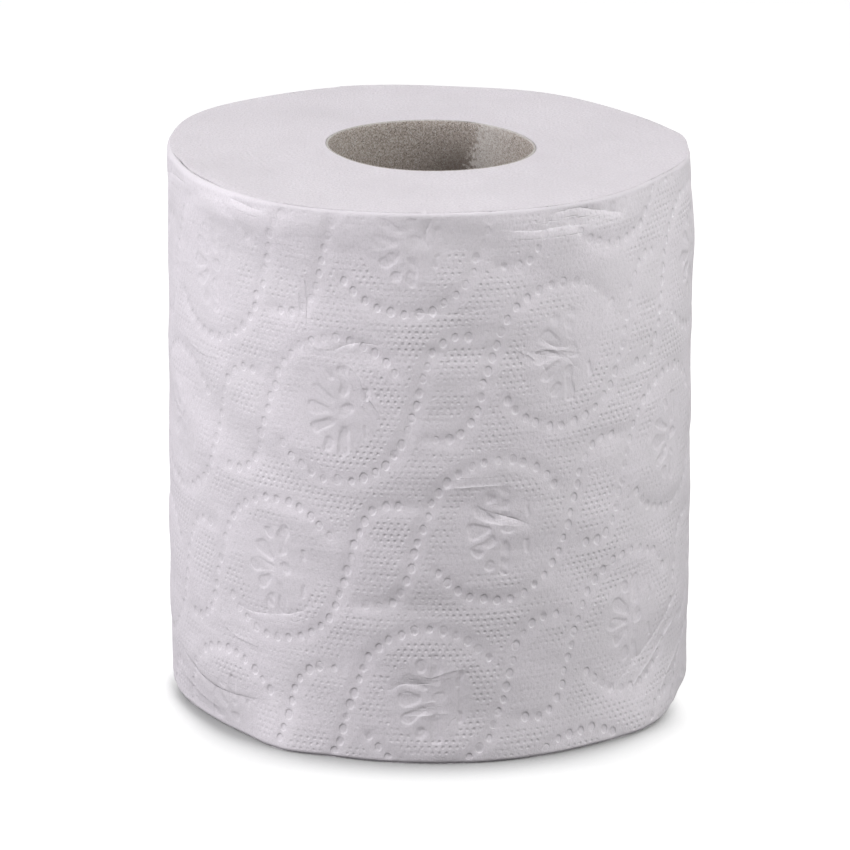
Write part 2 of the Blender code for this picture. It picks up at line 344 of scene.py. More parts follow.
@dataclass(frozen=True)
class Emboss:
    """The embossing roller's pattern, laid out on the flat sheet from the roll's front."""

    ring_step: float = 40.4 * MM
    ring_climb: float = 9.4 * MM
    row_shift: float = 12.0 * MM
    row_pitch: float = 30.7 * MM
    first_height: float = 12.0 * MM
    ring_radius: float = 12.8 * MM
    dot_pitch: float = 2.45 * MM
    dot_radius: float = 0.80 * MM
    dot_narrowing: float = 1.28
    mark_depth: float = 0.100 * MM
    mark_wall: float = 0.44 * MM
    mark_reach: float = 1.5 * MM
    channel_radius: float = 2.4 * MM
    channel_depth: float = 0.12 * MM
    point_clearance: float = 1.9 * MM
    point_ease: float = 0.7 * MM
    flower_softness: float = 0.42
    least_firm: float = 0.38
    warp: float = 0.22 * MM
    dot_shift: float = 0.12 * MM
    dot_swing: float = 0.16
    flower_clearance: float = 7.4 * MM
    flower_reach: float = 9.5 * MM
    edge_ease: float = 0.8 * MM
    panel_line: Places = ((-1.90, -1.09), (-1.53, -1.07), (-1.28, -0.79), (-1.16, -0.38), (-1.05, 0.02))
    ring_arc: tuple[float, float] = (0.467, 0.096)

    def centres(self, girth: float, front: float, width: float) -> Array:
        """The centres of all rings whose marks may reach the sheet."""
        rows = math.ceil((width + girth * self.ring_climb / self.ring_step) / self.row_pitch)
        steps = math.ceil((girth + width) / self.ring_step)
        row, step = np.meshgrid(np.arange(-rows, rows + 1), np.arange(-steps, steps + 1), indexing="ij")
        x = (front + step * self.ring_step + row * self.row_shift).ravel()
        z = (self.first_height + step * self.ring_climb + row * self.row_pitch).ravel()
        reach = 2.5 * self.ring_radius
        near = (x > -reach) & (x < girth + reach) & (z > -reach) & (z < width + reach)
        return np.stack([x, z], axis=1)[near]

    def dotted_route(self) -> Array:
        """The dotted line's route from its ring's centre: panel foot, panel side, arc over the ring."""
        start, end = self.ring_arc
        angles = math.tau * np.linspace(start, end, 13)
        arc = np.stack([np.cos(angles), np.sin(angles)], axis=1)
        return smooth_route(np.concatenate([np.array(self.panel_line), arc]) * self.ring_radius)

    def flower_outside(self, x: Array, z: Array) -> Array:
        """How far places lie outside the nearest petal, all in millimetres from the ring's centre."""
        petals = PAIRED_PETALS + tuple(petal.below() for petal in PAIRED_PETALS) + MIDDLE_PETALS
        return np.minimum.reduce([petal.outside(x, z) for petal in petals])


@dataclass(frozen=True)
class Crease:
    """A crease in the outer turn, from the roll's front and the floor, in millimetres.

    Its height is positive where the paper stands out. It drops sharply on one side and falls away
    slowly on the other: to the left of its direction where the fall is positive, else to the right.
    """

    places: Places
    height: float
    fall: float


CREASES: tuple[Crease, ...] = (
    Crease(((1.2, 50.2), (3.5, 50.7), (6.2, 50.9), (8.8, 51.0), (11.2, 51.0), (13.4, 50.8)), 0.20, -0.9),
    Crease(((7.6, 47.1), (9.0, 46.7), (11.0, 46.0), (13.0, 45.3), (15.2, 44.5), (17.0, 43.7), (18.8, 42.6)), -0.28, -1.0),
    Crease(((8.0, 47.0), (8.8, 45.6), (9.9, 44.5), (11.8, 43.8), (14.2, 43.4), (17.6, 43.0)), 0.22, -0.9),
    Crease(((-14.8, 72.5), (-13.8, 71.8), (-12.8, 70.8), (-11.5, 68.0), (-9.0, 64.2), (-7.8, 62.0)), 0.36, 0.8),
    Crease(((-11.9, 68.6), (-10.4, 66.2)), -0.14, -0.5),
    Crease(((14.5, 75.8), (15.5, 74.8), (17.5, 73.8), (19.0, 72.5), (20.0, 72.0)), 0.18, 0.9),
    Crease(((19.8, 72.2), (21.0, 70.0)), -0.20, 0.5),
    Crease(((16.0, 75.4), (18.5, 74.5), (22.2, 74.4), (27.0, 73.2), (30.0, 73.0)), 0.16, 1.2),
    Crease(((17.0, 74.6), (20.2, 73.6), (24.6, 72.6), (26.4, 70.8), (28.4, 69.6)), -0.17, 1.2),
    Crease(((19.0, 77.4), (21.0, 75.6), (23.4, 74.6), (27.4, 74.8)), -0.14, 1.0),
    Crease(((-9.6, 13.4), (-6.6, 13.5), (-4.8, 14.6), (-1.4, 14.7), (2.8, 15.3)), -0.20, 0.9),
    Crease(((-5.2, 8.8), (-1.0, 8.9), (2.0, 9.4), (4.8, 9.0)), 0.18, -0.8),
    Crease(((-2.0, 11.0), (2.0, 11.7)), 0.14, -0.8),
    Crease(((-3.4, 16.8), (0.4, 16.0), (3.4, 17.0), (9.8, 18.4)), 0.15, 1.0),
    Crease(((5.1, 18.4), (5.4, 13.0), (5.2, 8.0), (5.1, 3.0)), -0.22, 1.0),
    Crease(((-20.0, 28.8), (-22.6, 26.6), (-27.0, 25.0), (-34.0, 24.0), (-40.0, 24.6)), -0.26, -1.8),
    Crease(((0.3, 99.6), (-0.6, 97.0), (-0.9, 95.2), (0.0, 93.4)), -0.24, -0.9),
    Crease(((1.6, 99.0), (1.3, 97.4)), 0.12, -0.6),
    Crease(((-22.4, 89.0), (-22.1, 84.0), (-22.0, 79.5), (-21.8, 76.5)), -0.22, 0.8),
    Crease(((-21.9, 77.2), (-21.2, 75.6), (-20.0, 74.6), (-17.0, 74.8)), 0.14, 0.9),
    Crease(((-20.0, 74.4), (-17.0, 74.7), (-14.8, 75.8), (-11.5, 76.4), (-6.0, 76.0)), -0.18, 2.0),
    Crease(((-71.8, 95.2), (-66.5, 96.6), (-61.2, 97.5), (-55.5, 97.8), (-52.2, 97.8)), -0.30, 1.2),
    Crease(((-39.0, 99.0), (-36.2, 98.8), (-33.5, 98.3), (-30.0, 97.9)), -0.50, 0.9),
    Crease(((19.5, 98.2), (23.0, 98.8), (27.0, 99.0), (29.8, 98.3), (33.0, 97.5), (38.5, 96.0)), -0.50, 1.0),
    Crease(((12.0, 96.6), (18.8, 96.0), (23.5, 96.2), (31.0, 95.8)), -0.36, 1.6),
    Crease(((32.0, 7.6), (38.0, 10.8), (46.0, 15.2), (56.0, 21.4), (62.0, 26.0)), -0.28, 2.4),
    Crease(((36.0, 5.8), (45.0, 11.0), (54.0, 16.0), (64.0, 20.4)), 0.30, -2.4),
    Crease(((46.0, 3.4), (54.0, 8.0), (66.0, 12.4)), 0.24, -1.8),
    Crease(((58.0, 86.0), (63.0, 80.0), (70.0, 74.0)), -0.24, 2.0),
    Crease(((-64.0, 13.4), (-54.0, 9.4), (-44.0, 7.2), (-33.0, 7.8), (-26.0, 9.4)), -0.26, -2.4),
    Crease(((-60.0, 6.0), (-50.0, 3.8), (-40.0, 2.8)), 0.20, 1.6),
    Crease(((-46.0, 22.0), (-38.0, 18.4), (-30.0, 17.6)), 0.14, 2.0),
    Crease(((26.0, 34.0), (34.0, 32.8), (43.0, 34.6)), 0.12, 2.2),
    Crease(((-6.0, 82.6), (3.0, 82.0), (11.0, 83.0)), -0.12, 2.0),
    Crease(((-56.0, 70.0), (-48.0, 68.4), (-40.0, 69.2)), 0.12, 2.0),
)


@dataclass(frozen=True)
class Swell:
    """A broad soft rise of the outer turn, in millimetres from the roll's front and the floor."""

    place: tuple[float, float]
    reach: tuple[float, float]
    height: float


SWELLS: tuple[Swell, ...] = (
    Swell((-44.0, 10.0), (12.0, 6.0), 0.7),
    Swell((-36.0, 96.0), (14.0, 3.0), 0.4),
    Swell((52.0, 22.0), (9.0, 5.0), 0.5),
    Swell((30.0, 95.0), (9.0, 2.5), 0.5),
    Swell((14.0, 42.0), (4.0, 1.6), 0.22),
    Swell((11.5, 47.4), (5.0, 1.4), -0.16),
    Swell((12.0, 44.9), (3.0, 0.9), -0.16),
    Swell((-13.0, 74.2), (7.0, 1.5), -0.20),
    Swell((6.0, 75.0), (8.0, 1.7), -0.24),
    Swell((22.0, 71.6), (6.0, 2.0), 0.20),
    Swell((-4.0, 47.6), (9.0, 2.0), -0.16),
    Swell((-4.0, 53.5), (8.0, 2.6), 0.14),
    Swell((0.0, 29.0), (16.0, 2.2), -0.16),
    Swell((34.0, 56.0), (10.0, 2.0), -0.18),
)


@dataclass(frozen=True)
class Worn:
    """A place where handling has flattened the embossing, in millimetres from the front and the floor."""

    place: tuple[float, float]
    reach: tuple[float, float]
    share: float


WORN: tuple[Worn, ...] = (
    Worn((-58.0, 62.0), (34.0, 60.0), 0.50),
    Worn((-40.0, 96.0), (30.0, 9.0), 0.60),
    Worn((4.0, 98.0), (40.0, 5.0), 0.55),
    Worn((-24.0, 72.0), (9.0, 10.0), 0.40),
    Worn((-12.0, 30.0), (8.0, 8.0), 0.30),
    Worn((30.0, 86.0), (8.0, 8.0), 0.35),
    Worn((22.0, 56.0), (9.0, 6.0), 0.35),
    Worn((34.0, 79.0), (9.0, 9.0), 0.50),
    Worn((58.0, 40.0), (20.0, 30.0), 0.25),
)


@dataclass
class SheetSurface:
    """The outer turn laid flat: a grid of places, and how far the paper stands in or out at each."""

    form: RollForm
    emboss: Emboss
    columns: int = 984
    row_height: float = 0.35 * MM
    edge_radius: float = 0.7 * MM
    edge_steps: int = 4
    firm_seed: int = 31
    firm_swing: float = 0.45
    close_swing: float = 0.50
    fineness: int = 6
    warp_seed: int = 41
    warp_fineness: int = 3
    crease_reach: float = 1.6
    crease_drop: float = 0.35
    crease_share: float = 0.45

    def __post_init__(self) -> None:
        """Lays out the grid's columns along the sheet and its rows up it."""
        self.x = np.linspace(0.0, self.form.girth, self.columns + 1)
        count = round((self.form.width - 2 * self.edge_radius) / self.row_height)
        swing = np.linspace(0.0, math.pi / 2, self.edge_steps + 1)[:-1]
        low = self.edge_radius * (1.0 - np.cos(swing))
        self.z = np.concatenate([
            low,
            np.linspace(self.edge_radius, self.form.width - self.edge_radius, count + 1),
            self.form.width - low[::-1],
        ])
        inset = self.edge_radius * (1.0 - np.sin(swing))
        self.inset = np.concatenate([inset, np.zeros(count + 1), inset[::-1]])
        self.front = self.form.girth * (1.0 - self.form.tail_turn)
        self.dz = self.z[self.edge_steps + 1] - self.z[self.edge_steps]
        self.dx = self.x[1]
        self.soft_relief = np.zeros(self.shape)
        self.crease_side = np.full(self.shape, self.crease_reach * MM)
        self.crease_height = np.zeros(self.shape)
        self.lay_out()

    @property
    def shape(self) -> tuple[int, int]:
        """How many rows and columns of points the grid has."""
        return len(self.z), len(self.x)

    def nearest(self, places: Array, reach: float, radii: Array | float = 0.0, narrowing: float = 1.0) -> Array:
        """Measures each grid point's distance to the nearest of some places.

        Args:
            places: the places on the sheet.
            reach: the greatest distance that is measured.
            radii: the radius of a spot at each place, up the sheet.
            narrowing: how many times narrower along the sheet the spots are.

        Returns:
            The distance outside the nearest spot over the whole grid, and no more than the reach.
        """
        nearest = np.full(self.shape, reach)
        radii = np.broadcast_to(radii, len(places))[:, None]
        wide = math.ceil((reach + radii.max()) / self.dx)
        high = math.ceil((reach + radii.max()) / self.dz)
        over, across = np.meshgrid(np.arange(-high, high + 1), np.arange(-wide, wide + 1), indexing="ij")
        column = np.rint(places[:, 0] / self.dx).astype(int)[:, None] + across.ravel()
        row = np.rint((places[:, 1] - self.edge_radius) / self.dz).astype(int)[:, None] + over.ravel()
        row = row + self.edge_steps
        inside = (column >= 0) & (column < self.shape[1]) & (row >= 0) & (row < self.shape[0])
        column = np.clip(column, 0, self.shape[1] - 1)
        row = np.clip(row, 0, self.shape[0] - 1)
        distance = np.hypot((self.x[column] - places[:, :1]) * narrowing, self.z[row] - places[:, 1:])
        np.minimum.at(nearest, (row, column), np.where(inside, distance - radii, reach))
        return nearest

    def lay_out(self) -> None:
        """Works out where the embossing's marks, channels and fine points lie on the grid."""
        emboss = self.emboss
        route = emboss.dotted_route()
        line = even_places(route, emboss.dot_pitch, emboss.dot_pitch / 2)
        track = even_places(route, emboss.dot_pitch / 4)
        centres = emboss.centres(self.form.girth, self.front, self.form.width)
        turned = (1.0, -1.0)
        dots = np.concatenate([centre + way * line for centre in centres for way in turned])
        tracks = np.concatenate([centre + way * track for centre in centres for way in turned])
        draw = np.random.default_rng(self.warp_seed)
        dots = dots + draw.normal(0.0, emboss.dot_shift, dots.shape)
        radii = emboss.dot_radius * (1.0 + draw.uniform(-emboss.dot_swing, emboss.dot_swing, len(dots)))
        outside = self.nearest(dots, emboss.mark_reach, radii, emboss.dot_narrowing)
        warp_x = self.waved(self.warp_seed, 10, emboss.warp, self.warp_fineness)
        warp_z = self.waved(self.warp_seed + 1, 10, emboss.warp, self.warp_fineness)
        for centre in centres:
            c0, c1 = np.searchsorted(self.x, (centre[0] - emboss.flower_reach, centre[0] + emboss.flower_reach))
            r0, r1 = np.searchsorted(self.z, (centre[1] - emboss.flower_reach, centre[1] + emboss.flower_reach))
            if c0 < c1 and r0 < r1:
                x = (self.x[None, c0:c1] + warp_x[r0:r1, c0:c1] - centre[0]) / MM
                z = (self.z[r0:r1, None] + warp_z[r0:r1, c0:c1] - centre[1]) / MM
                flower = emboss.flower_outside(x, z) * emboss.flower_softness * MM
                outside[r0:r1, c0:c1] = np.minimum(outside[r0:r1, c0:c1], flower)
        from_edge = np.minimum(self.z, self.form.width - self.z)[:, None]
        self.outside = outside
        self.near_edge = smooth_step((from_edge - self.edge_radius / 2) / emboss.edge_ease)
        from_track = self.nearest(tracks, emboss.channel_radius)
        self.channel = smooth_step(1.0 - from_track / emboss.channel_radius)
        from_flower = self.nearest(centres, emboss.flower_clearance + emboss.point_ease)
        clear_line = smooth_step((from_track - emboss.point_clearance + emboss.point_ease / 2) / emboss.point_ease)
        clear_flower = smooth_step((from_flower - emboss.flower_clearance) / emboss.point_ease)
        self.points = clear_line * clear_flower * self.near_edge
        self.firmness = self.pressing(WORN)

    def pressing(self, worn: Sequence[Worn]) -> Array:
        """How much of the embossing's depth is left over the whole grid: less where it is worn."""
        x = (self.x[None, :] - self.front) / MM
        z = self.z[:, None] / MM
        left = np.ones(self.shape)
        for patch in worn:
            across = (x - patch.place[0]) / patch.reach[0]
            along = (z - patch.place[1]) / patch.reach[1]
            left = left * (1.0 - patch.share * np.exp(-across**2 - along**2))
        broad = self.waved(self.firm_seed, 8, self.firm_swing)
        close = self.waved(self.firm_seed + 1, 10, self.close_swing, self.fineness)
        return left * np.clip(1.0 + broad + close, self.emboss.least_firm, 1.0)

    def pressed_pattern(self) -> Array:
        """How deep the embossing's dots, petals and channels are over the whole grid."""
        marks = self.emboss.mark_depth * smooth_step(0.5 - self.outside / self.emboss.mark_wall)
        return marks * self.firmness * self.near_edge + self.emboss.channel_depth * self.channel

    def crease(self, creases: Sequence[Crease], front: float) -> None:
        """Lays creases on the grid: their soft relief, and what the finish needs for their sharp lines.

        Args:
            creases: the creases, in millimetres from the front.
            front: where the roll's front is on the sheet.
        """
        for crease in creases:
            route = smooth_route(np.array(crease.places) * MM) + np.array([front, 0.0])
            track = even_places(route, 0.5 * self.dx)
            reach = (self.crease_reach + 2.0 * abs(crease.fall)) * MM
            c0, c1 = np.searchsorted(self.x, (track[:, 0].min() - reach, track[:, 0].max() + reach))
            r0, r1 = np.searchsorted(self.z, (track[:, 1].min() - reach, track[:, 1].max() + reach))
            if c0 >= c1 or r0 >= r1:
                continue
            x, z = np.meshgrid(self.x[c0:c1], self.z[r0:r1])
            side, share = measure_crease(track, x, z)
            side = side * math.copysign(1.0, crease.fall)
            ends = smooth_step(share / 0.35) * smooth_step((1.0 - share) / 0.35)
            height = crease.height * MM * ends
            slow = np.exp(-np.abs(side) / (abs(crease.fall) * MM))
            body = np.where(side > 0.0, slow, np.exp(-np.abs(side) / (self.crease_drop * MM)))
            window = (slice(r0, r1), slice(c0, c1))
            self.soft_relief[window] += self.crease_share * height * body
            closer = np.abs(side) < np.abs(self.crease_side[window])
            self.crease_side[window] = np.where(closer, side, self.crease_side[window])
            self.crease_height[window] = np.where(closer, height, self.crease_height[window])

    def swollen(self, swells: Sequence[Swell]) -> Array:
        """How far the broad soft rises stand out over the whole grid."""
        x = (self.x[None, :] - self.front) / MM
        z = self.z[:, None] / MM
        height = np.zeros(self.shape)
        for swell in swells:
            across = (x - swell.place[0]) / swell.reach[0]
            along = (z - swell.place[1]) / swell.reach[1]
            height += swell.height * MM * np.exp(-across**2 - along**2)
        return height

    def waved(self, seed: int, count: int, height: float, fineness: int = 1) -> Array:
        """The slack paper's low waves, which run mostly round the roll.

        Args:
            seed: start of the random draws.
            count: how many waves are laid over each other.
            height: the height of a wave alone.
            fineness: how many times shorter than the paper's slack waves they are.

        Returns:
            How far the paper stands out over the whole grid.
        """
        draw = np.random.default_rng(seed)
        x = self.x[None, :] / self.form.girth
        z = self.z[:, None] / self.form.width
        total = np.zeros(self.shape)
        for _ in range(count):
            round_count = draw.integers(3, 12) * fineness
            up_count = draw.uniform(2.5, 9.0) * fineness
            phase, drift = draw.uniform(0.0, math.tau, 2)
            bend = 0.9 * np.sin(math.tau * 2 * x + drift)
            total += np.sin(math.tau * (round_count * x + up_count * z) + phase + bend)
        return height * total / math.sqrt(count)


def measure_crease(track: Array, x: Array, z: Array) -> tuple[Array, Array]:
    """Measures grid points against a crease.

    Args:
        track: places along the crease, close together.
        x: how far along the sheet each point is.
        z: how high each point is.

    Returns:
        Each point's distance from the crease, less than zero to its right, and the share of the
        crease's length at which it lies nearest.
    """
    nearest = np.full(x.shape, np.inf)
    side = np.zeros(x.shape)
    share = np.zeros(x.shape)
    for number, (place, step) in enumerate(zip(track, np.gradient(track, axis=0))):
        away_x, away_z = x - place[0], z - place[1]
        distance = away_x**2 + away_z**2
        closer = distance < nearest
        nearest = np.where(closer, distance, nearest)
        cross = (step[0] * away_z - step[1] * away_x) / math.hypot(*step)
        side = np.where(closer, cross, side)
        share = np.where(closer, number / len(track), share)
    beyond = np.sqrt(np.maximum(nearest - side**2, 0.0))
    return np.where(side < 0.0, side - beyond, side + beyond), share


# Finishes


class Nodes:
    """A material's node tree, with the few steps that these finishes need."""

    def __init__(self, name: str) -> None:
        """Starts a material that has only a Principled shader and its output."""
        self.material = bpy.data.materials.new(name)
        self.material.use_nodes = True
        self.tree = self.material.node_tree
        self.shader = self.tree.nodes["Principled BSDF"]
        self.place = self.tree.nodes.new("ShaderNodeTexCoord").outputs["Object"]

    def link(self, source: bpy.types.NodeSocket, target: bpy.types.NodeSocket) -> None:
        """Joins two sockets."""
        self.tree.links.new(source, target)

    def scaled(self, factors: tuple[float, float, float]) -> bpy.types.NodeSocket:
        """Object coordinates, multiplied along each axis."""
        node = self.tree.nodes.new("ShaderNodeVectorMath")
        node.operation = "MULTIPLY"
        self.link(self.place, node.inputs[0])
        node.inputs[1].default_value = factors
        return node.outputs[0]

    def noise(
        self, scale: float, detail: float = 3.0, stretch: tuple[float, float, float] = (1.0, 1.0, 1.0)
    ) -> bpy.types.NodeSocket:
        """Noise by object coordinates, in repeats to the metre."""
        node = self.tree.nodes.new("ShaderNodeTexNoise")
        node.inputs["Scale"].default_value = scale
        node.inputs["Detail"].default_value = detail
        self.link(self.scaled(stretch), node.inputs["Vector"])
        return node.outputs["Fac"]

    def ramp(
        self, source: bpy.types.NodeSocket, stops: Sequence[tuple[float, tuple[float, float, float, float]]]
    ) -> bpy.types.NodeSocket:
        """A colour ramp over a value."""
        node = self.tree.nodes.new("ShaderNodeValToRGB")
        ramp = node.color_ramp
        while len(ramp.elements) < len(stops):
            ramp.elements.new(0.5)
        for element, (place, colour) in zip(ramp.elements, stops):
            element.position = place
            element.color = colour
        self.link(source, node.inputs["Fac"])
        return node.outputs["Color"]

    def span(self, source: bpy.types.NodeSocket, low: float, high: float, least: float, most: float) -> bpy.types.NodeSocket:
        """A value's range moved to another, and held at its ends."""
        node = self.tree.nodes.new("ShaderNodeMapRange")
        self.link(source, node.inputs["Value"])
        for name, value in (("From Min", low), ("From Max", high), ("To Min", least), ("To Max", most)):
            node.inputs[name].default_value = value
        return node.outputs["Result"]

    def mix(
        self, share: bpy.types.NodeSocket, first: bpy.types.NodeSocket, second: tuple[float, float, float, float]
    ) -> bpy.types.NodeSocket:
        """A colour with part of it replaced by another."""
        node = self.tree.nodes.new("ShaderNodeMix")
        node.data_type = "RGBA"
        self.link(share, node.inputs["Factor"])
        self.link(first, node.inputs["A"])
        node.inputs["B"].default_value = second
        return node.outputs["Result"]

    def arithmetic(self, kind: str, first: bpy.types.NodeSocket, second: bpy.types.NodeSocket | float) -> bpy.types.NodeSocket:
        """One arithmetic step on values."""
        node = self.tree.nodes.new("ShaderNodeMath")
        node.operation = kind
        self.link(first, node.inputs[0])
        if isinstance(second, bpy.types.NodeSocket):
            self.link(second, node.inputs[1])
        else:
            node.inputs[1].default_value = second
        return node.outputs[0]

    def eased(self, source: bpy.types.NodeSocket, low: float, high: float, least: float, most: float) -> bpy.types.NodeSocket:
        """A value's range moved to another with level ends."""
        result = self.span(source, low, high, least, most)
        result.node.interpolation_type = "SMOOTHSTEP"
        return result

    def attribute(self, name: str, output: str = "Fac") -> bpy.types.NodeSocket:
        """A value that the mesh carries at its points."""
        node = self.tree.nodes.new("ShaderNodeAttribute")
        node.attribute_name = name
        return node.outputs[output]

    def bump(self, height: bpy.types.NodeSocket, distance: float, strength: float = 1.0) -> None:
        """Adds surface relief, on top of any already there."""
        node = self.tree.nodes.new("ShaderNodeBump")
        node.inputs["Distance"].default_value = distance
        node.inputs["Strength"].default_value = strength
        self.link(height, node.inputs["Height"])
        before = self.shader.inputs["Normal"].links
        if before:
            self.link(before[0].from_socket, node.inputs["Normal"])
        self.link(node.outputs["Normal"], self.shader.inputs["Normal"])


class SheetValue(Enum):
    """What the outer turn's mesh tells its finish at each point."""

    PLACE = "sheet_place"
    OUTSIDE = "outside_marks"
    POINTS = "fine_points"
    SIDE = "crease_side"
    HEIGHT = "crease_height"
    FIRM = "pressing"


@dataclass(frozen=True)
class TissueFinish:
    """Soft white tissue with a faint lilac cast, short fibres, a rare dark fleck and pressed marks, and painted shade
    in the fine pits and near both ends.
    """

    name: str = "soft tissue"
    pale: tuple[float, float, float, float] = (0.800, 0.758, 0.805, 1.0)
    deep: tuple[float, float, float, float] = (0.750, 0.714, 0.753, 1.0)
    shade: tuple[float, float, float, float] = (0.705, 0.669, 0.707, 1.0)
    speck_and_painted_pit_shade: tuple[float, float, float, float] = (0.30, 0.28, 0.29, 1.0)
    roughness: float = 0.95
    mark_wall: float = 0.25 * MM
    mark_depth: float = 0.088 * MM
    point_pitch: float = 1.21 * MM
    point_row: float = 1.05 * MM
    point_radius: float = 0.44 * MM
    point_depth: float = 0.132 * MM
    painted_point_shade: float = 0.16
    width: float = 100.0 * MM
    rim_reach: float = 1.1 * MM
    rim_painted_shade_share: float = 0.9
    rim_painted_shade_tone: tuple[float, float, float, float] = (0.650, 0.616, 0.652, 1.0)
    face_reach: float = 0.03 * MM
    face_painted_shade_tone: tuple[float, float, float, float] = (0.700, 0.665, 0.702, 1.0)
    crease_drop: float = 0.13 * MM
    crease_fall: float = 0.55 * MM
    crease_share: float = 0.4

    def creases(self, nodes: Nodes) -> bpy.types.NodeSocket:
        """The creases' sharp lines: their height, steep on one side and slower on the other."""
        side = nodes.attribute(SheetValue.SIDE.value)
        slow = nodes.arithmetic("DIVIDE", side, self.crease_fall)
        steep = nodes.arithmetic("DIVIDE", side, -self.crease_drop)
        away = nodes.arithmetic("MULTIPLY", nodes.arithmetic("MAXIMUM", slow, steep), -1.0)
        body = nodes.arithmetic("EXPONENT", away, 0.0)
        uneven = nodes.span(nodes.noise(420.0, 2.0), 0.35, 0.65, 0.3 * self.crease_share, 1.4 * self.crease_share)
        height = nodes.arithmetic("MULTIPLY", nodes.attribute(SheetValue.HEIGHT.value), uneven)
        return nodes.arithmetic("MULTIPLY", body, height)

    def points(self, nodes: Nodes) -> bpy.types.NodeSocket:
        """The fine points, one at each pit's middle and nothing between them, with every other row set over."""
        split = nodes.tree.nodes.new("ShaderNodeSeparateXYZ")
        nodes.link(nodes.attribute(SheetValue.PLACE.value, "Vector"), split.inputs[0])
        x, z = split.outputs["X"], split.outputs["Y"]
        reach = []
        for shift in (0.0, 0.5):
            across = nodes.arithmetic("ADD", x, shift * self.point_pitch)
            along = nodes.arithmetic("ADD", z, 2.0 * shift * self.point_row)
            across = nodes.arithmetic("PINGPONG", across, self.point_pitch / 2.0)
            along = nodes.arithmetic("PINGPONG", along, self.point_row)
            square = nodes.arithmetic("MULTIPLY", across, across)
            reach.append(nodes.arithmetic("ADD", square, nodes.arithmetic("MULTIPLY", along, along)))
        distance = nodes.arithmetic("SQRT", nodes.arithmetic("MINIMUM", *reach), 0.0)
        pit = nodes.eased(distance, 0.0, self.point_radius, 1.0, 0.0)
        patch = nodes.span(nodes.noise(70.0, 2.0, (1.0, 1.0, 1.6)), 0.38, 0.60, 0.25, 1.0)
        patch = nodes.arithmetic("MULTIPLY", patch, nodes.attribute(SheetValue.FIRM.value))
        here = nodes.arithmetic("MULTIPLY", nodes.attribute(SheetValue.POINTS.value), patch)
        return nodes.arithmetic("MULTIPLY", pit, here)

    def make(self) -> bpy.types.Material:
        """The finish as a material."""
        nodes = Nodes(self.name)
        mottle = nodes.noise(95.0, 4.0)
        colour = nodes.ramp(mottle, ((0.35, self.deep), (0.65, self.pale)))
        grain = nodes.noise(3400.0, 2.0, (1.0, 1.0, 0.6))
        colour = nodes.mix(nodes.span(grain, 0.30, 0.55, 0.9, 0.0), colour, self.shade)
        cells = nodes.tree.nodes.new("ShaderNodeTexVoronoi")
        cells.inputs["Scale"].default_value = 150.0
        nodes.link(nodes.place, cells.inputs["Vector"])
        rare = nodes.tree.nodes.new("ShaderNodeSeparateColor")
        nodes.link(cells.outputs["Color"], rare.inputs["Color"])
        chosen = nodes.span(rare.outputs["Red"], 0.965, 0.975, 0.0, 1.0)
        spot = nodes.span(cells.outputs["Distance"], 0.018, 0.045, 0.85, 0.0)
        colour = nodes.mix(nodes.arithmetic("MULTIPLY", chosen, spot), colour, self.speck_and_painted_pit_shade)
        points = self.points(nodes)
        # Painted shade: the middles of the fine pits are darkened towards the dark fleck colour.
        colour = nodes.mix(nodes.arithmetic("MULTIPLY", points, self.painted_point_shade), colour, self.speck_and_painted_pit_shade)
        axes = nodes.tree.nodes.new("ShaderNodeSeparateXYZ")
        nodes.link(nodes.place, axes.inputs[0])
        from_rim = nodes.arithmetic("PINGPONG", axes.outputs["Z"], self.width / 2.0)
        # Painted shade along the rounded rims near both ends: the colour is darkened towards a grey tone.
        rim = nodes.eased(from_rim, 0.1 * self.rim_reach, self.rim_reach, self.rim_painted_shade_share, 0.0)
        colour = nodes.mix(rim, colour, self.rim_painted_shade_tone)
        # Painted shade on the outer turn's flat end faces, in a grey tone like the cut ends' colour.
        face = nodes.span(from_rim, 0.0, self.face_reach, 1.0, 0.0)
        colour = nodes.mix(face, colour, self.face_painted_shade_tone)
        nodes.link(colour, nodes.shader.inputs["Base Color"])
        nodes.link(nodes.span(grain, 0.3, 0.7, self.roughness - 0.05, 1.0), nodes.shader.inputs["Roughness"])
        nodes.shader.inputs["Specular IOR Level"].default_value = 0.15
        nodes.shader.inputs["Sheen Weight"].default_value = 0.10
        nodes.shader.inputs["Sheen Roughness"].default_value = 0.6
        half_wall = self.mark_wall / 2.0
        mark = nodes.eased(nodes.attribute(SheetValue.OUTSIDE.value), -half_wall, half_wall, -1.0, 0.0)
        mark = nodes.arithmetic("MULTIPLY", mark, nodes.attribute(SheetValue.FIRM.value))
        nodes.bump(mark, self.mark_depth)
        nodes.bump(points, -self.point_depth)
        nodes.bump(self.creases(nodes), 1.0)
        nodes.bump(nodes.noise(75.0, 2.0, (0.45, 0.45, 1.7)), 0.40 * MM)
        nodes.bump(nodes.noise(260.0, 2.0, (1.0, 1.0, 1.5)), 0.10 * MM)
        nodes.bump(nodes.noise(750.0, 2.0), 0.05 * MM)
        fibre = nodes.noise(1600.0, 4.0, (1.0, 1.0, 0.45))
        nodes.bump(fibre, 0.058 * MM, 0.7)
        nodes.bump(nodes.noise(3800.0, 2.0), 0.054 * MM)
        return nodes.material


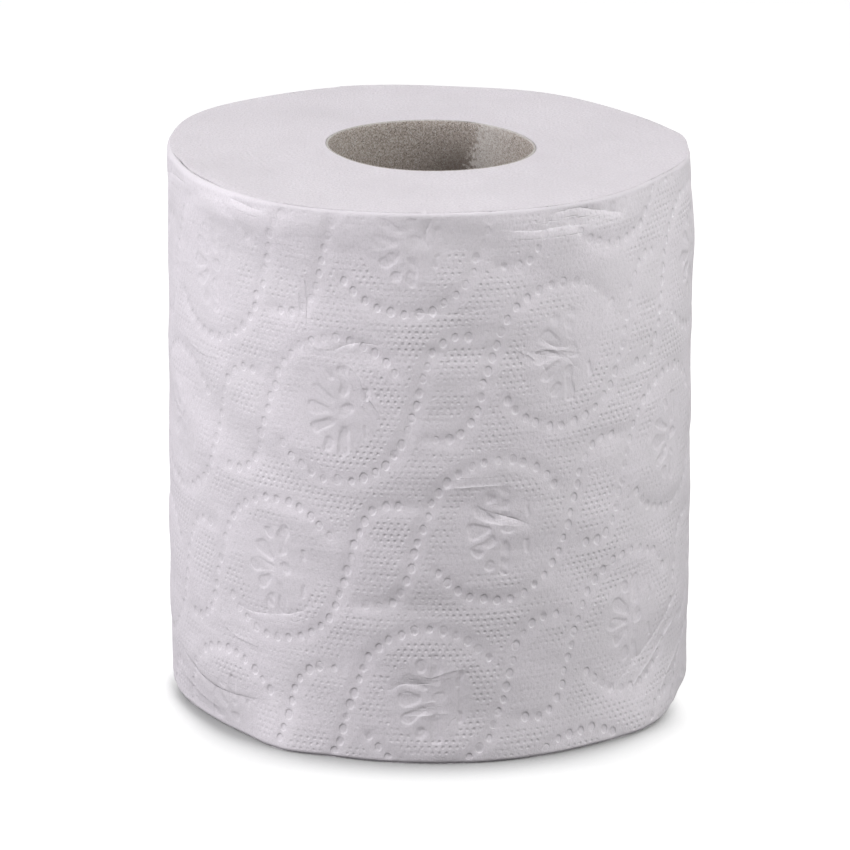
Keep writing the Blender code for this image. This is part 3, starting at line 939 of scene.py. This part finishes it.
@dataclass(frozen=True)
class CutEndFinish:
    """The cut edges of all turns together: smooth, with the turns as faint close lines."""

    name: str = "cut turns"
    # These colours are darker than the outer turn's tissue, though both are the same paper: painted shade on the cut
    # ends.
    pale: tuple[float, float, float, float] = (0.732, 0.697, 0.734, 1.0)
    deep: tuple[float, float, float, float] = (0.676, 0.642, 0.676, 1.0)
    shade: tuple[float, float, float, float] = (0.636, 0.602, 0.636, 1.0)
    roughness: float = 0.97
    turn_attribute: str = "turn_number"

    def make(self) -> bpy.types.Material:
        """The finish as a material."""
        nodes = Nodes(self.name)
        turns = nodes.tree.nodes.new("ShaderNodeAttribute")
        turns.attribute_name = self.turn_attribute
        number = turns.outputs["Fac"]
        wander = nodes.noise(160.0, 3.0)
        shifted = nodes.arithmetic("ADD", number, nodes.arithmetic("MULTIPLY", wander, 1.4))
        line = nodes.arithmetic("SINE", nodes.arithmetic("MULTIPLY", shifted, math.tau), 0.0)
        broad = nodes.arithmetic("SINE", nodes.arithmetic("MULTIPLY", shifted, math.tau * 0.23), 0.0)
        patch = nodes.span(nodes.noise(55.0, 3.0), 0.42, 0.62, 0.15, 1.0)
        both = nodes.arithmetic("ADD", line, broad)
        relief = nodes.arithmetic("MULTIPLY", both, patch)
        mottle = nodes.noise(70.0, 4.0)
        colour = nodes.ramp(mottle, ((0.3, self.deep), (0.62, self.pale)))
        shade = nodes.span(relief, -2.0, 2.0, 0.30, 0.0)
        colour = nodes.mix(shade, colour, self.deep)
        grain = nodes.noise(2300.0, 3.0)
        colour = nodes.mix(nodes.span(grain, 0.35, 0.60, 1.0, 0.0), colour, self.shade)
        nodes.link(colour, nodes.shader.inputs["Base Color"])
        nodes.shader.inputs["Roughness"].default_value = self.roughness
        nodes.shader.inputs["Specular IOR Level"].default_value = 0.12
        nodes.bump(relief, 0.015 * MM, 1.0)
        nodes.bump(nodes.noise(900.0, 2.0), 0.06 * MM)
        nodes.bump(nodes.noise(2300.0, 3.0), 0.20 * MM)
        nodes.bump(nodes.noise(4400.0, 2.0), 0.22 * MM)
        return nodes.material


@dataclass(frozen=True)
class BoardFinish:
    """Grey-brown board of recycled fibre, speckled light and dark, with painted shade deeper in the tube and left of
    the seam, and a paler strip right of it, partly painted light.
    """

    name: str = "recycled board"
    deep: tuple[float, float, float, float] = (0.246, 0.209, 0.182, 1.0)
    middle: tuple[float, float, float, float] = (0.346, 0.304, 0.273, 1.0)
    pale: tuple[float, float, float, float] = (0.446, 0.402, 0.370, 1.0)
    dark_fibre_and_painted_shade: tuple[float, float, float, float] = (0.100, 0.082, 0.070, 1.0)
    light_fibre_and_painted_light: tuple[float, float, float, float] = (0.56, 0.55, 0.54, 1.0)
    roughness: float = 0.93
    width: float = 100.0 * MM
    depth_painted_shade_reach: float = 14.0 * MM
    depth_painted_shade_share: float = 0.16
    seam_x: float = 8.8 * MM
    seam_slope: float = 0.2
    seam_ragged: float = 3.0 * MM
    left_painted_shade_reach: float = 15.0 * MM
    left_painted_shade_fall: float = 9.0 * MM
    left_painted_shade_share: float = 0.80
    pale_strip_and_painted_light_reach: float = 9.0 * MM
    pale_strip_and_painted_light_share: float = 0.34
    cut_reach: float = 0.25 * MM
    cut_share: float = 0.45

    def seam(self, nodes: Nodes, axes: bpy.types.Node) -> tuple[bpy.types.NodeSocket, bpy.types.NodeSocket]:
        """The board's torn seam at the back of the open end.

        Args:
            nodes: the material's nodes.
            axes: the node that splits the object coordinates.

        Returns:
            How dark the painted shade to the left of the seam is, and how pale the strip to its right, partly paler
            board and partly painted light.
        """
        down = nodes.arithmetic("SUBTRACT", axes.outputs["Z"], self.width)
        slanted = nodes.arithmetic("SUBTRACT", axes.outputs["X"], nodes.arithmetic("MULTIPLY", down, self.seam_slope))
        ragged = nodes.span(nodes.noise(1300.0, 4.0), 0.3, 0.7, -self.seam_ragged / 2.0, self.seam_ragged / 2.0)
        past = nodes.arithmetic("SUBTRACT", nodes.arithmetic("ADD", slanted, ragged), self.seam_x)
        behind = nodes.eased(axes.outputs["Y"], 4.0 * MM, 9.0 * MM, 0.0, 1.0)
        # Painted shade to the left of the seam, stronger deeper in the tube.
        deeper = nodes.eased(down, -self.left_painted_shade_fall, 0.0, 1.0, 0.12)
        left = nodes.arithmetic("MULTIPLY", nodes.eased(past, -self.left_painted_shade_reach, -0.5 * MM, 0.0, self.left_painted_shade_share), deeper)
        left = nodes.arithmetic("MULTIPLY", left, nodes.span(past, -0.5 * MM, 1.0 * MM, 1.0, 0.0))
        # A paler strip to the right of the seam: partly paler board, partly painted light.
        right = nodes.eased(past, 1.0 * MM, self.pale_strip_and_painted_light_reach, self.pale_strip_and_painted_light_share, 0.0)
        right = nodes.arithmetic("MULTIPLY", right, nodes.span(past, -0.5 * MM, 1.0 * MM, 0.0, 1.0))
        return nodes.arithmetic("MULTIPLY", left, behind), nodes.arithmetic("MULTIPLY", right, behind)

    def make(self) -> bpy.types.Material:
        """The finish as a material."""
        nodes = Nodes(self.name)
        mottle = nodes.noise(2800.0, 4.0)
        colour = nodes.ramp(mottle, ((0.36, self.deep), (0.5, self.middle), (0.64, self.pale)))
        dark = nodes.noise(5200.0, 1.0, (1.0, 1.0, 0.8))
        colour = nodes.mix(nodes.span(dark, 0.33, 0.40, 0.85, 0.0), colour, self.dark_fibre_and_painted_shade)
        light = nodes.noise(5600.0, 1.0, (0.9, 0.9, 1.0))
        colour = nodes.mix(nodes.span(light, 0.60, 0.67, 0.0, 0.85), colour, self.light_fibre_and_painted_light)
        axes = nodes.tree.nodes.new("ShaderNodeSeparateXYZ")
        nodes.link(nodes.place, axes.inputs[0])
        left_painted_shade, strip = self.seam(nodes, axes)
        colour = nodes.mix(left_painted_shade, colour, self.dark_fibre_and_painted_shade)
        # Paler strip right of the seam: partly paler board, partly painted light.
        colour = nodes.mix(strip, colour, self.light_fibre_and_painted_light)
        from_end = nodes.arithmetic("PINGPONG", axes.outputs["Z"], self.width / 2.0)
        # Painted shade inside the tube: darker with the distance from the nearer end.
        colour = nodes.mix(nodes.span(from_end, 0.0, self.depth_painted_shade_reach, 0.0, self.depth_painted_shade_share), colour, self.dark_fibre_and_painted_shade)
        cut = nodes.span(from_end, 0.5 * self.cut_reach, self.cut_reach, self.cut_share, 0.0)
        behind = nodes.eased(axes.outputs["Y"], -17.0 * MM, -10.0 * MM, 0.0, 1.0)
        colour = nodes.mix(nodes.arithmetic("MULTIPLY", cut, behind), colour, self.light_fibre_and_painted_light)
        nodes.link(colour, nodes.shader.inputs["Base Color"])
        nodes.shader.inputs["Roughness"].default_value = self.roughness
        nodes.shader.inputs["Specular IOR Level"].default_value = 0.2
        nodes.bump(nodes.noise(420.0, 3.0), 0.10 * MM, 0.6)
        nodes.bump(dark, 0.03 * MM, 0.5)
        return nodes.material


# The roll's pieces


@dataclass
class OuterTurn:
    """The outer turn of tissue, in three stretches that meet without a seam, and its loose end behind."""

    form: RollForm
    emboss: Emboss = field(default_factory=Emboss)
    thickness: float = 0.35 * MM
    stretches: int = 3
    lift: float = 0.35 * MM
    lift_reach: float = 7.0 * MM
    tie_pitch: float = 5.0 * MM
    tie_length: float = 0.45 * MM
    tie_half_width: float = 0.45 * MM
    edge_sink: float = 0.05 * MM
    backing_step: int = 16
    wave_seed: int = 7
    wave_count: int = 9
    wave_height: float = 0.075 * MM
    back_seed: int = 19
    back_creases: int = 26

    def drawn_creases(self) -> list[Crease]:
        """Creases for the sides that the photograph doesn't show, drawn from a fixed seed."""
        draw = np.random.default_rng(self.back_seed)
        creases = []
        for _ in range(self.back_creases):
            u = draw.uniform(72.0, 215.0)
            v = draw.uniform(6.0, 95.0)
            length = draw.uniform(6.0, 20.0)
            rise = length * draw.normal(0.0, 0.4)
            bends = draw.normal(0.0, 0.8, 2)
            places = (
                (u, v),
                (u + length / 3, v + rise / 3 + bends[0]),
                (u + 2 * length / 3, v + 2 * rise / 3 + bends[1]),
                (u + length, v + rise),
            )
            height = draw.choice((-1.0, 1.0)) * draw.uniform(0.14, 0.34)
            creases.append(Crease(places, height, draw.choice((-1.0, 1.0)) * draw.uniform(0.8, 2.2)))
        return creases

    def skin(self, surface: SheetSurface) -> Array:
        """The outer face's points, as rows from the floor up of columns along the sheet."""
        surface.crease(CREASES, surface.front)
        surface.crease(self.drawn_creases(), surface.front - self.form.girth)
        surface.crease(self.drawn_creases(), surface.front)
        relief = surface.soft_relief + surface.swollen(SWELLS)
        relief += surface.waved(self.wave_seed, self.wave_count, self.wave_height)
        from_edge = np.minimum(surface.z, self.form.width - surface.z)
        calm = smooth_step(from_edge / (3.0 * MM))[:, None]
        relief = relief * (0.25 + 0.75 * calm) - surface.pressed_pattern()
        to_end = self.form.girth - surface.x
        lifted = self.lift * np.exp(-to_end / self.lift_reach) ** 2
        ripple = (0.6 + 0.4 * np.sin(math.tau * surface.z / (31.0 * MM))) * smooth_step(from_edge / (15.0 * MM))
        along = surface.x / self.form.girth
        radius = self.form.outer(along[None, :], surface.z[:, None])
        radius = radius + relief - surface.inset[:, None] + lifted[None, :] * ripple[:, None]
        turn = self.form.tail_turn + along[None, :] + self.torn(surface) / self.form.girth
        drop = self.form.shoulder(turn, surface.inset[:, None])
        to_open = np.clip(1.0 - (self.form.width - surface.z) / self.form.shoulder_fall, 0.0, 1.0)[:, None]
        turned_in = 0.5 * drop * to_open**2
        height = np.clip(surface.z, self.edge_sink, self.form.width - self.edge_sink)[:, None]
        return place_round(turn, radius - turned_in, height - drop * to_open)

    def torn(self, surface: SheetSurface) -> Array:
        """How far the torn ties of the perforation stand past the sheet's end."""
        off_tie = (surface.z + self.tie_pitch / 2) % self.tie_pitch - self.tie_pitch / 2
        draw = np.random.default_rng(self.back_seed)
        uneven = draw.uniform(0.5, 1.0, int(self.form.width / self.tie_pitch) + 2)
        number = np.rint(surface.z / self.tie_pitch).astype(int)
        tie = self.tie_length * uneven[number] * smooth_step(1.0 - np.abs(off_tie) / self.tie_half_width)
        to_end = self.form.girth - surface.x
        return tie[:, None] * np.clip(1.0 - to_end / (1.5 * MM), 0.0, 1.0)[None, :]

    def backing(self, parts: MeshParts, front: Array) -> None:
        """Closes a stretch: walls along its border, and a plain face behind it."""
        rows, columns = front.shape[:2]
        inward = -front * np.array([1.0, 1.0, 0.0])
        inward /= np.linalg.norm(inward, axis=-1, keepdims=True)
        behind = front + inward * self.thickness
        edge_row = np.concatenate([
            np.zeros(columns - 1, int), np.arange(rows - 1),
            np.full(columns - 1, rows - 1), np.arange(rows - 1, 0, -1),
        ])
        edge_column = np.concatenate([
            np.arange(columns - 1), np.full(rows - 1, columns - 1),
            np.arange(columns - 1, 0, -1), np.zeros(rows - 1, int),
        ])
        border = behind[edge_row, edge_column]
        count = len(border)
        first = edge_row * columns + edge_column
        base = rows * columns
        here = np.arange(count)
        after = (here + 1) % count
        walls = np.stack([first[after], first[here], base + here, base + after], axis=1)
        inner_row, inner_column = np.meshgrid(
            np.arange(self.backing_step, rows - self.backing_step // 2, self.backing_step),
            np.arange(self.backing_step, columns - self.backing_step // 2, self.backing_step),
            indexing="ij",
        )
        smooth = behind[inner_row.ravel(), inner_column.ravel()]
        flat = [Vector((c, r)) for r, c in zip(edge_row, edge_column)]
        flat += [Vector((c, r)) for r, c in zip(inner_row.ravel(), inner_column.ravel())]
        edges = [(int(i), int(j)) for i, j in zip(here, after)]
        _, _, faces, sources, _, _ = delaunay_2d_cdt(flat, edges, [], 1, 0.01, True)
        kept = np.array([source[0] for source in sources])
        triangles = kept[np.array(faces)][:, ::-1] + base
        parts.points.append(np.concatenate([border, smooth]))
        parts.faces += [walls, triangles]
        parts.count += count + len(smooth)

    def build(self) -> list[bpy.types.Object]:
        """Makes the stretches of the outer turn."""
        surface = SheetSurface(self.form, self.emboss)
        skin = self.skin(surface)
        normals = grid_normals(skin)
        columns = surface.columns // self.stretches
        pieces = []
        for number, name in enumerate(("outer_turn_left", "outer_turn_front", "outer_turn_right")):
            start = number * columns
            part = skin[:, start : start + columns + 1]
            parts = MeshParts()
            parts.add(part, grid_faces(part.shape[0], part.shape[1]))
            self.backing(parts, part)
            shading = normals[:, start : start + columns + 1].reshape(-1, 3)
            piece = parts.make(name, normals=shading)
            self.describe(piece, surface, slice(start, start + columns + 1))
            pieces.append(piece)
        return pieces

    def describe(self, piece: bpy.types.Object, surface: SheetSurface, columns: slice) -> None:
        """Gives a stretch's points the values that the finish reads."""
        count = len(piece.data.vertices)
        x, z = np.meshgrid(surface.x[columns], surface.z)
        front = x.size
        place = np.zeros((count, 3), np.float32)
        place[:front, 0] = x.reshape(-1)
        place[:front, 1] = z.reshape(-1)
        outside = np.full(count, surface.emboss.mark_reach, np.float32)
        hidden = surface.emboss.mark_reach * (1.0 - surface.near_edge)
        outside[:front] = (surface.outside + hidden)[:, columns].reshape(-1)
        points = np.zeros(count, np.float32)
        points[:front] = surface.points[:, columns].reshape(-1)
        values = piece.data.attributes
        values.new(SheetValue.PLACE.value, "FLOAT_VECTOR", "POINT").data.foreach_set("vector", place.reshape(-1))
        values.new(SheetValue.OUTSIDE.value, "FLOAT", "POINT").data.foreach_set("value", outside)
        values.new(SheetValue.POINTS.value, "FLOAT", "POINT").data.foreach_set("value", points)
        for name, grid in (
            (SheetValue.SIDE, surface.crease_side),
            (SheetValue.HEIGHT, surface.crease_height),
            (SheetValue.FIRM, surface.firmness),
        ):
            value = np.zeros(count, np.float32)
            value[:front] = grid[:, columns].reshape(-1)
            values.new(name.value, "FLOAT", "POINT").data.foreach_set("value", value)

    def dress(self, pieces: Sequence[bpy.types.Object], finish: TissueFinish) -> None:
        """Gives every stretch the tissue's finish and its place in the frame."""
        material = finish.make()
        for piece in pieces:
            piece.data.materials.append(material)
            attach(piece, ROOT)
            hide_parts("paper_roll")


@dataclass
class WoundTurns:
    """All turns under the outer one: a thick ring whose two ends show the turns' cut edges."""

    form: RollForm
    columns: int = 480
    rings: int = 92
    under_outer: float = 0.62 * MM
    edge_inset: float = 0.40 * MM
    edge_drop: float = 0.0 * MM
    gap_turn: float = 0.817
    gap_reach: float = 0.054
    gap_width: float = 1.12 * MM
    turn_thickness: float = 0.27 * MM
    relief: float = 0.016 * MM
    spirals: int = 5
    spiral_depth: float = 0.018 * MM
    seed: int = 3

    def end_points(self, end: End) -> tuple[Array, Array]:
        """One end's points, as rings from the bore out, and the turn that each lies on."""
        height = end.value * self.form.width
        sign = 1.0 if end is End.OPEN else -1.0
        turn = (np.arange(self.columns) / self.columns)[None, :]
        share = np.linspace(0.0, 1.0, self.rings)[:, None]
        inner = self.form.paper_bore(turn)
        outer = self.form.outer((turn - self.form.tail_turn) % 1.0, np.array(height)) - self.edge_inset
        if end is End.OPEN:
            opened = np.exp(-((shorter_turn(turn, self.gap_turn) / self.gap_reach) ** 4))
            uneven = 0.84 + 0.10 * np.sin(math.tau * 23 * turn) + 0.06 * np.sin(math.tau * 61 * turn)
            outer = outer - self.gap_width * opened * uneven
        radius = inner + (outer - inner) * share
        number = (radius - inner) / self.turn_thickness + turn
        draw = np.random.default_rng(self.seed)
        wave = np.zeros(radius.shape)
        for _ in range(14):
            rings_in = draw.uniform(4.0, 26.0)
            round_count = draw.integers(0, 5)
            phase = draw.uniform(0.0, math.tau)
            wave += np.sin(math.tau * (rings_in * share + round_count * turn) + phase) / 14**0.5
        spiral = (share * self.spirals + turn) % 1.0
        line = np.exp(-(((spiral - 0.5) / 0.06) ** 2))
        drop = self.relief * (1.0 + wave) + self.spiral_depth * line
        ease = smooth_step((share - 0.0) / 0.04) * smooth_step((1.0 - share) / 0.04)
        rim = self.edge_drop * (smooth_step((share - 0.975) / 0.025) + 0.6 * smooth_step((0.02 - share) / 0.02))
        sunk = self.form.shoulder(turn + np.zeros(radius.shape), outer - radius + self.edge_inset)
        if end is End.OPEN:
            rim = rim + sunk
        points = place_round(turn, radius - 0.5 * sunk * (end is End.OPEN), height - sign * (drop * ease + rim))
        return points, number

    def build(self, attribute: str) -> bpy.types.Object:
        """Makes the ring as one closed body and numbers its turns for the finish."""
        low, low_number = self.end_points(End.STANDING)
        high, high_number = self.end_points(End.OPEN)
        turn = (np.arange(self.columns) / self.columns)[None, :]
        levels = np.linspace(0.0, 1.0, 9)[1:-1, None] * self.form.width
        outer = place_round(turn, self.form.pressed(turn, levels) - self.under_outer - self.form.tail_step / 2, levels)
        rings = np.concatenate([low, outer, high[::-1]])
        number = np.concatenate([low_number, np.zeros(outer.shape[:2]), high_number[::-1]])
        parts = MeshParts()
        faces = grid_faces(len(rings), self.columns, closed=True)
        last = (len(rings) - 1) * self.columns
        here = np.arange(self.columns)
        after = (here + 1) % self.columns
        bore = np.stack([last + here, last + after, after, here], axis=1)
        parts.add(rings, np.concatenate([faces, bore]))
        piece = parts.make("wound_turns", weld=0.0)
        values = piece.data.attributes.new(attribute, "FLOAT", "POINT")
        values.data.foreach_set("value", number.astype(np.float32).reshape(-1))
        return piece

    def dress(self, piece: bpy.types.Object, finish: CutEndFinish) -> None:
        """Gives the ring its finish and its place in the frame."""
        piece.data.materials.append(finish.make())
        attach(piece, ROOT)
        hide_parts("paper_roll")


@dataclass
class BoardCore:
    """The core: a strip of board wound in a spiral, whose lap shows inside, with a cut rim at both ends."""

    form: RollForm
    columns: int = 240
    rows: int = 80
    lap: float = 0.25 * MM
    lead: float = 130.0 * MM
    lap_turn: float = 0.42
    lap_reach: float = 0.05
    rim_round: float = 0.15 * MM
    fold_turn: float = 0.44
    fold_reach: float = 0.035
    fold_depth: float = 0.40 * MM
    rough: float = 0.03 * MM
    seed: int = 5

    def inner(self, turn: Array, height: Array) -> Array:
        """The inner face's radius, with the lap, one fold and a slight unevenness."""
        from_lap = (turn - self.lap_turn - height / self.lead) % 1.0
        step = self.lap * smooth_step(from_lap / self.lap_reach) * smooth_step((1.0 - from_lap) / 0.004)
        fold = self.fold_depth * np.exp(-np.abs(shorter_turn(turn, self.fold_turn)) / self.fold_reach)
        draw = np.random.default_rng(self.seed)
        uneven = np.zeros(np.broadcast(turn, height).shape)
        for _ in range(12):
            round_count = draw.integers(2, 30)
            up_count = draw.uniform(2.0, 20.0)
            phase = draw.uniform(0.0, math.tau)
            uneven += np.sin(math.tau * (round_count * turn + up_count * height / self.form.width) + phase)
        return self.form.bore_radius + self.form.oval(turn) + step + fold + self.rough * uneven / 12**0.5

    def build(self) -> bpy.types.Object:
        """Makes the core as one closed tube."""
        turn = (np.arange(self.columns) / self.columns)[None, :]
        width = self.form.width
        levels = np.linspace(self.rim_round, width - self.rim_round, self.rows)[:, None]
        inner = place_round(turn, self.inner(turn, levels), levels)
        outer_radius = self.form.bore_radius + self.form.core_wall + self.form.oval(turn)

        def rim(height: float) -> list[Array]:
            inside = self.inner(turn, np.array([[height]]))
            middle = (inside + outer_radius) / 2
            level = np.array([[height]])
            return [
                place_round(turn, inside + self.rim_round, level),
                place_round(turn, middle, level),
                place_round(turn, outer_radius - self.rim_round, level),
            ]

        outside = [place_round(turn, outer_radius, np.array([[height]])) for height in (width - self.rim_round, self.rim_round)]
        rings = np.concatenate([inner, *rim(width), *outside, *reversed(rim(0.0))])
        parts = MeshParts()
        faces = grid_faces(len(rings), self.columns, closed=True, flip=True)
        last = (len(rings) - 1) * self.columns
        here = np.arange(self.columns)
        after = (here + 1) % self.columns
        close = np.stack([here, after, last + after, last + here], axis=1)
        parts.add(rings, np.concatenate([faces, close]))
        return parts.make("board_core", weld=0.0)

    def dress(self, piece: bpy.types.Object, finish: BoardFinish) -> None:
        """Gives the core its finish and its place in the frame."""
        piece.data.materials.append(finish.make())
        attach(piece, ROOT)
        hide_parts("core_tube")


# The setting


@dataclass(frozen=True)
class Softbox:
    """A large soft lamp aimed at the roll's middle."""

    name: str
    place: tuple[float, float, float]
    size: float
    power: float
    colour: tuple[float, float, float] = (1.0, 1.0, 1.0)


@dataclass
class Studio:
    """A plain white floor, soft lamps round the roll and the photograph's camera."""

    aim: tuple[float, float, float] = (0.0, 0.0, 0.05)
    camera_place: tuple[float, float, float] = (-0.00082, -0.85, 0.31557)
    camera_pitch: float = math.radians(17.504)
    camera_roll: float = 0.00393
    lens: float = 207.54
    floor_size: float = 8.0
    floor_white: float = 0.40
    floor_bounce: float = 0.05
    floor_glow: float = 0.80
    shadow_front: float = -47.0 * MM
    shadow_side: float = -6.0 * MM
    front_reach: float = 18.0 * MM
    side_reach: float = 4.0 * MM
    shadow_lean: float = 0.14
    shadow_full: float = -24.0 * MM
    shadow_none: float = -2.0 * MM
    shadow_depths: tuple[tuple[float, float], ...] = (
        (0.565, 1.0), (0.61, 0.89), (0.655, 0.74), (0.705, 0.59),
        (0.75, 0.47), (0.80, 0.37), (0.86, 0.29), (0.93, 0.21), (1.0, 0.0),
    )
    ambient: tuple[float, float, float] = (1.0, 0.985, 0.995)
    ambient_strength: float = 0.308
    lamps: tuple[Softbox, ...] = (
        Softbox("lamp_front", (0.05, -0.25, 0.27), 0.26, 0.35),
        Softbox("lamp_front_far", (0.25, -1.35, 0.50), 0.9, 0.5),
        Softbox("lamp_left", (-0.42, -0.13, 0.30), 0.40, 1.55, (0.985, 0.98, 1.0)),
        Softbox("lamp_left_far", (-1.15, -0.35, 0.70), 0.7, 4.8, (0.985, 0.98, 1.0)),
        Softbox("lamp_right", (0.42, -0.10, 0.28), 0.40, 1.10, (0.985, 1.0, 0.98)),
        Softbox("lamp_back", (0.0, 0.22, 0.32), 0.25, 0.24),
        Softbox("lamp_right_far", (1.2, -0.25, 0.60), 0.7, 1.65, (0.985, 1.0, 0.98)),
    )

    def white_when_seen(self, tree: bpy.types.NodeTree, seen: bpy.types.NodeSocket, other: bpy.types.NodeSocket) -> bpy.types.NodeSocket:
        """Chooses the first shader where the camera, gloss or glass looks straight at a surface."""
        path = tree.nodes.new("ShaderNodeLightPath")
        total = path.outputs["Is Camera Ray"]
        for name in ("Is Glossy Ray", "Is Transmission Ray"):
            add = tree.nodes.new("ShaderNodeMath")
            add.operation = "MAXIMUM"
            tree.links.new(total, add.inputs[0])
            tree.links.new(path.outputs[name], add.inputs[1])
            total = add.outputs[0]
        mix = tree.nodes.new("ShaderNodeMixShader")
        tree.links.new(total, mix.inputs["Fac"])
        tree.links.new(other, mix.inputs[1])
        tree.links.new(seen, mix.inputs[2])
        return mix.outputs[0]

    def build_world(self) -> None:
        """Even light from all round, and plain white where it is seen."""
        world = bpy.data.worlds.new("studio")
        world.use_nodes = True
        tree = world.node_tree
        light = tree.nodes["Background"]
        light.inputs["Color"].default_value = (*self.ambient, 1.0)
        light.inputs["Strength"].default_value = self.ambient_strength
        white = tree.nodes.new("ShaderNodeBackground")
        white.inputs["Color"].default_value = (1.0, 1.0, 1.0, 1.0)
        output = tree.nodes["World Output"]
        shown = self.white_when_seen(tree, white.outputs[0], light.outputs[0])
        tree.links.new(shown, output.inputs["Surface"])
        bpy.context.scene.world = world

    def floor_light(self, nodes: Nodes) -> bpy.types.NodeSocket:
        """The floor's own glow: full away from the roll, and falling to none in the shadow round its front."""
        axes = nodes.tree.nodes.new("ShaderNodeSeparateXYZ")
        nodes.link(nodes.place, axes.inputs[0])
        to_front = nodes.span(axes.outputs["Y"], self.shadow_front, self.shadow_side, 1.0, 0.0)
        to_front = nodes.arithmetic("MULTIPLY", to_front, to_front)
        contact = nodes.tree.nodes.new("ShaderNodeAmbientOcclusion")
        nodes.link(nodes.span(to_front, 0.0, 1.0, self.side_reach, self.front_reach), contact.inputs["Distance"])
        shade = nodes.ramp(contact.outputs["AO"], [(place, (depth,) * 3 + (1.0,)) for place, depth in self.shadow_depths])
        leaning = nodes.arithmetic("MULTIPLY", axes.outputs["X"], self.shadow_lean)
        leaning = nodes.arithmetic("ADD", leaning, axes.outputs["Y"])
        shade = nodes.arithmetic("MULTIPLY", shade, nodes.eased(leaning, self.shadow_full, self.shadow_none, 1.0, 0.0))
        return nodes.span(shade, 0.0, 1.0, self.floor_glow, 0.0)

    def build_floor(self) -> bpy.types.Object:
        """The floor: white where it is seen, with the roll's shadow, and a plain grey to the light it returns."""
        half = self.floor_size / 2
        mesh = bpy.data.meshes.new("floor")
        corners = [(-half, -half, 0.0), (half, -half, 0.0), (half, half, 0.0), (-half, half, 0.0)]
        mesh.from_pydata(corners, [], [(0, 1, 2, 3)])
        floor = bpy.data.objects.new("floor", mesh)
        bpy.context.scene.collection.objects.link(floor)
        nodes = Nodes("white floor")
        nodes.shader.inputs["Base Color"].default_value = (self.floor_bounce,) * 3 + (1.0,)
        nodes.shader.inputs["Roughness"].default_value = 1.0
        nodes.shader.inputs["Specular IOR Level"].default_value = 0.0
        seen = nodes.tree.nodes.new("ShaderNodeBsdfDiffuse")
        seen.inputs["Color"].default_value = (self.floor_white,) * 3 + (1.0,)
        glow = nodes.tree.nodes.new("ShaderNodeEmission")
        nodes.link(self.floor_light(nodes), glow.inputs["Strength"])
        both = nodes.tree.nodes.new("ShaderNodeAddShader")
        nodes.link(seen.outputs[0], both.inputs[0])
        nodes.link(glow.outputs[0], both.inputs[1])
        shown = self.white_when_seen(nodes.tree, both.outputs[0], nodes.shader.outputs[0])
        nodes.link(shown, nodes.tree.nodes["Material Output"].inputs["Surface"])
        mesh.materials.append(nodes.material)
        return floor

    def build_lamps(self) -> None:
        """The soft lamps, each turned towards the roll."""
        for lamp in self.lamps:
            light = bpy.data.lights.new(lamp.name, "AREA")
            light.shape = "SQUARE"
            light.size = lamp.size
            light.energy = lamp.power
            light.color = lamp.colour
            holder = bpy.data.objects.new(lamp.name, light)
            away = Vector(lamp.place) - Vector(self.aim)
            holder.matrix_world = Matrix.Translation(lamp.place) @ away.to_track_quat("Z", "Y").to_matrix().to_4x4()
            bpy.context.scene.collection.objects.link(holder)

    def build_camera(self) -> None:
        """The camera, where the photograph was taken from."""
        data = bpy.data.cameras.new("camera")
        data.lens = self.lens
        data.sensor_width = 36.0
        data.clip_end = 20.0
        camera = bpy.data.objects.new("camera", data)
        tilt = Matrix.Rotation(math.pi / 2 - self.camera_pitch, 4, "X")
        camera.matrix_world = Matrix.Translation(self.camera_place) @ tilt @ Matrix.Rotation(self.camera_roll, 4, "Z")
        bpy.context.scene.collection.objects.link(camera)
        bpy.context.scene.camera = camera

    def build(self) -> None:
        """Sets up the whole studio."""
        self.build_camera()
        self.build_world()
        self.build_floor()
        self.build_lamps()
        bpy.context.scene.view_settings.view_transform = "Standard"


def report(piece: bpy.types.Object) -> None:
    """Logs a finished piece and its count of triangles."""
    triangles = sum(len(face.vertices) - 2 for face in piece.data.polygons)
    LOG.info("%s: %d triangles", piece.name, triangles)


def main() -> None:
    """Builds and dresses the roll, then the studio round it."""
    logging.basicConfig(level=logging.INFO, format="%(name)s: %(message)s")
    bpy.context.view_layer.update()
    low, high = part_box("paper_roll")
    form = RollForm(width=high[2] - low[2])

    outer = OuterTurn(form)
    stretches = outer.build()
    outer.dress(stretches, TissueFinish(width=form.width))

    wound = WoundTurns(form)
    cut_end = CutEndFinish()
    ring = wound.build(cut_end.turn_attribute)
    wound.dress(ring, cut_end)

    core = BoardCore(form)
    tube = core.build()
    core.dress(tube, BoardFinish(width=form.width))

    for piece in (*stretches, ring, tube):
        report(piece)
    Studio().build()


if __name__ == "__main__":
    main()
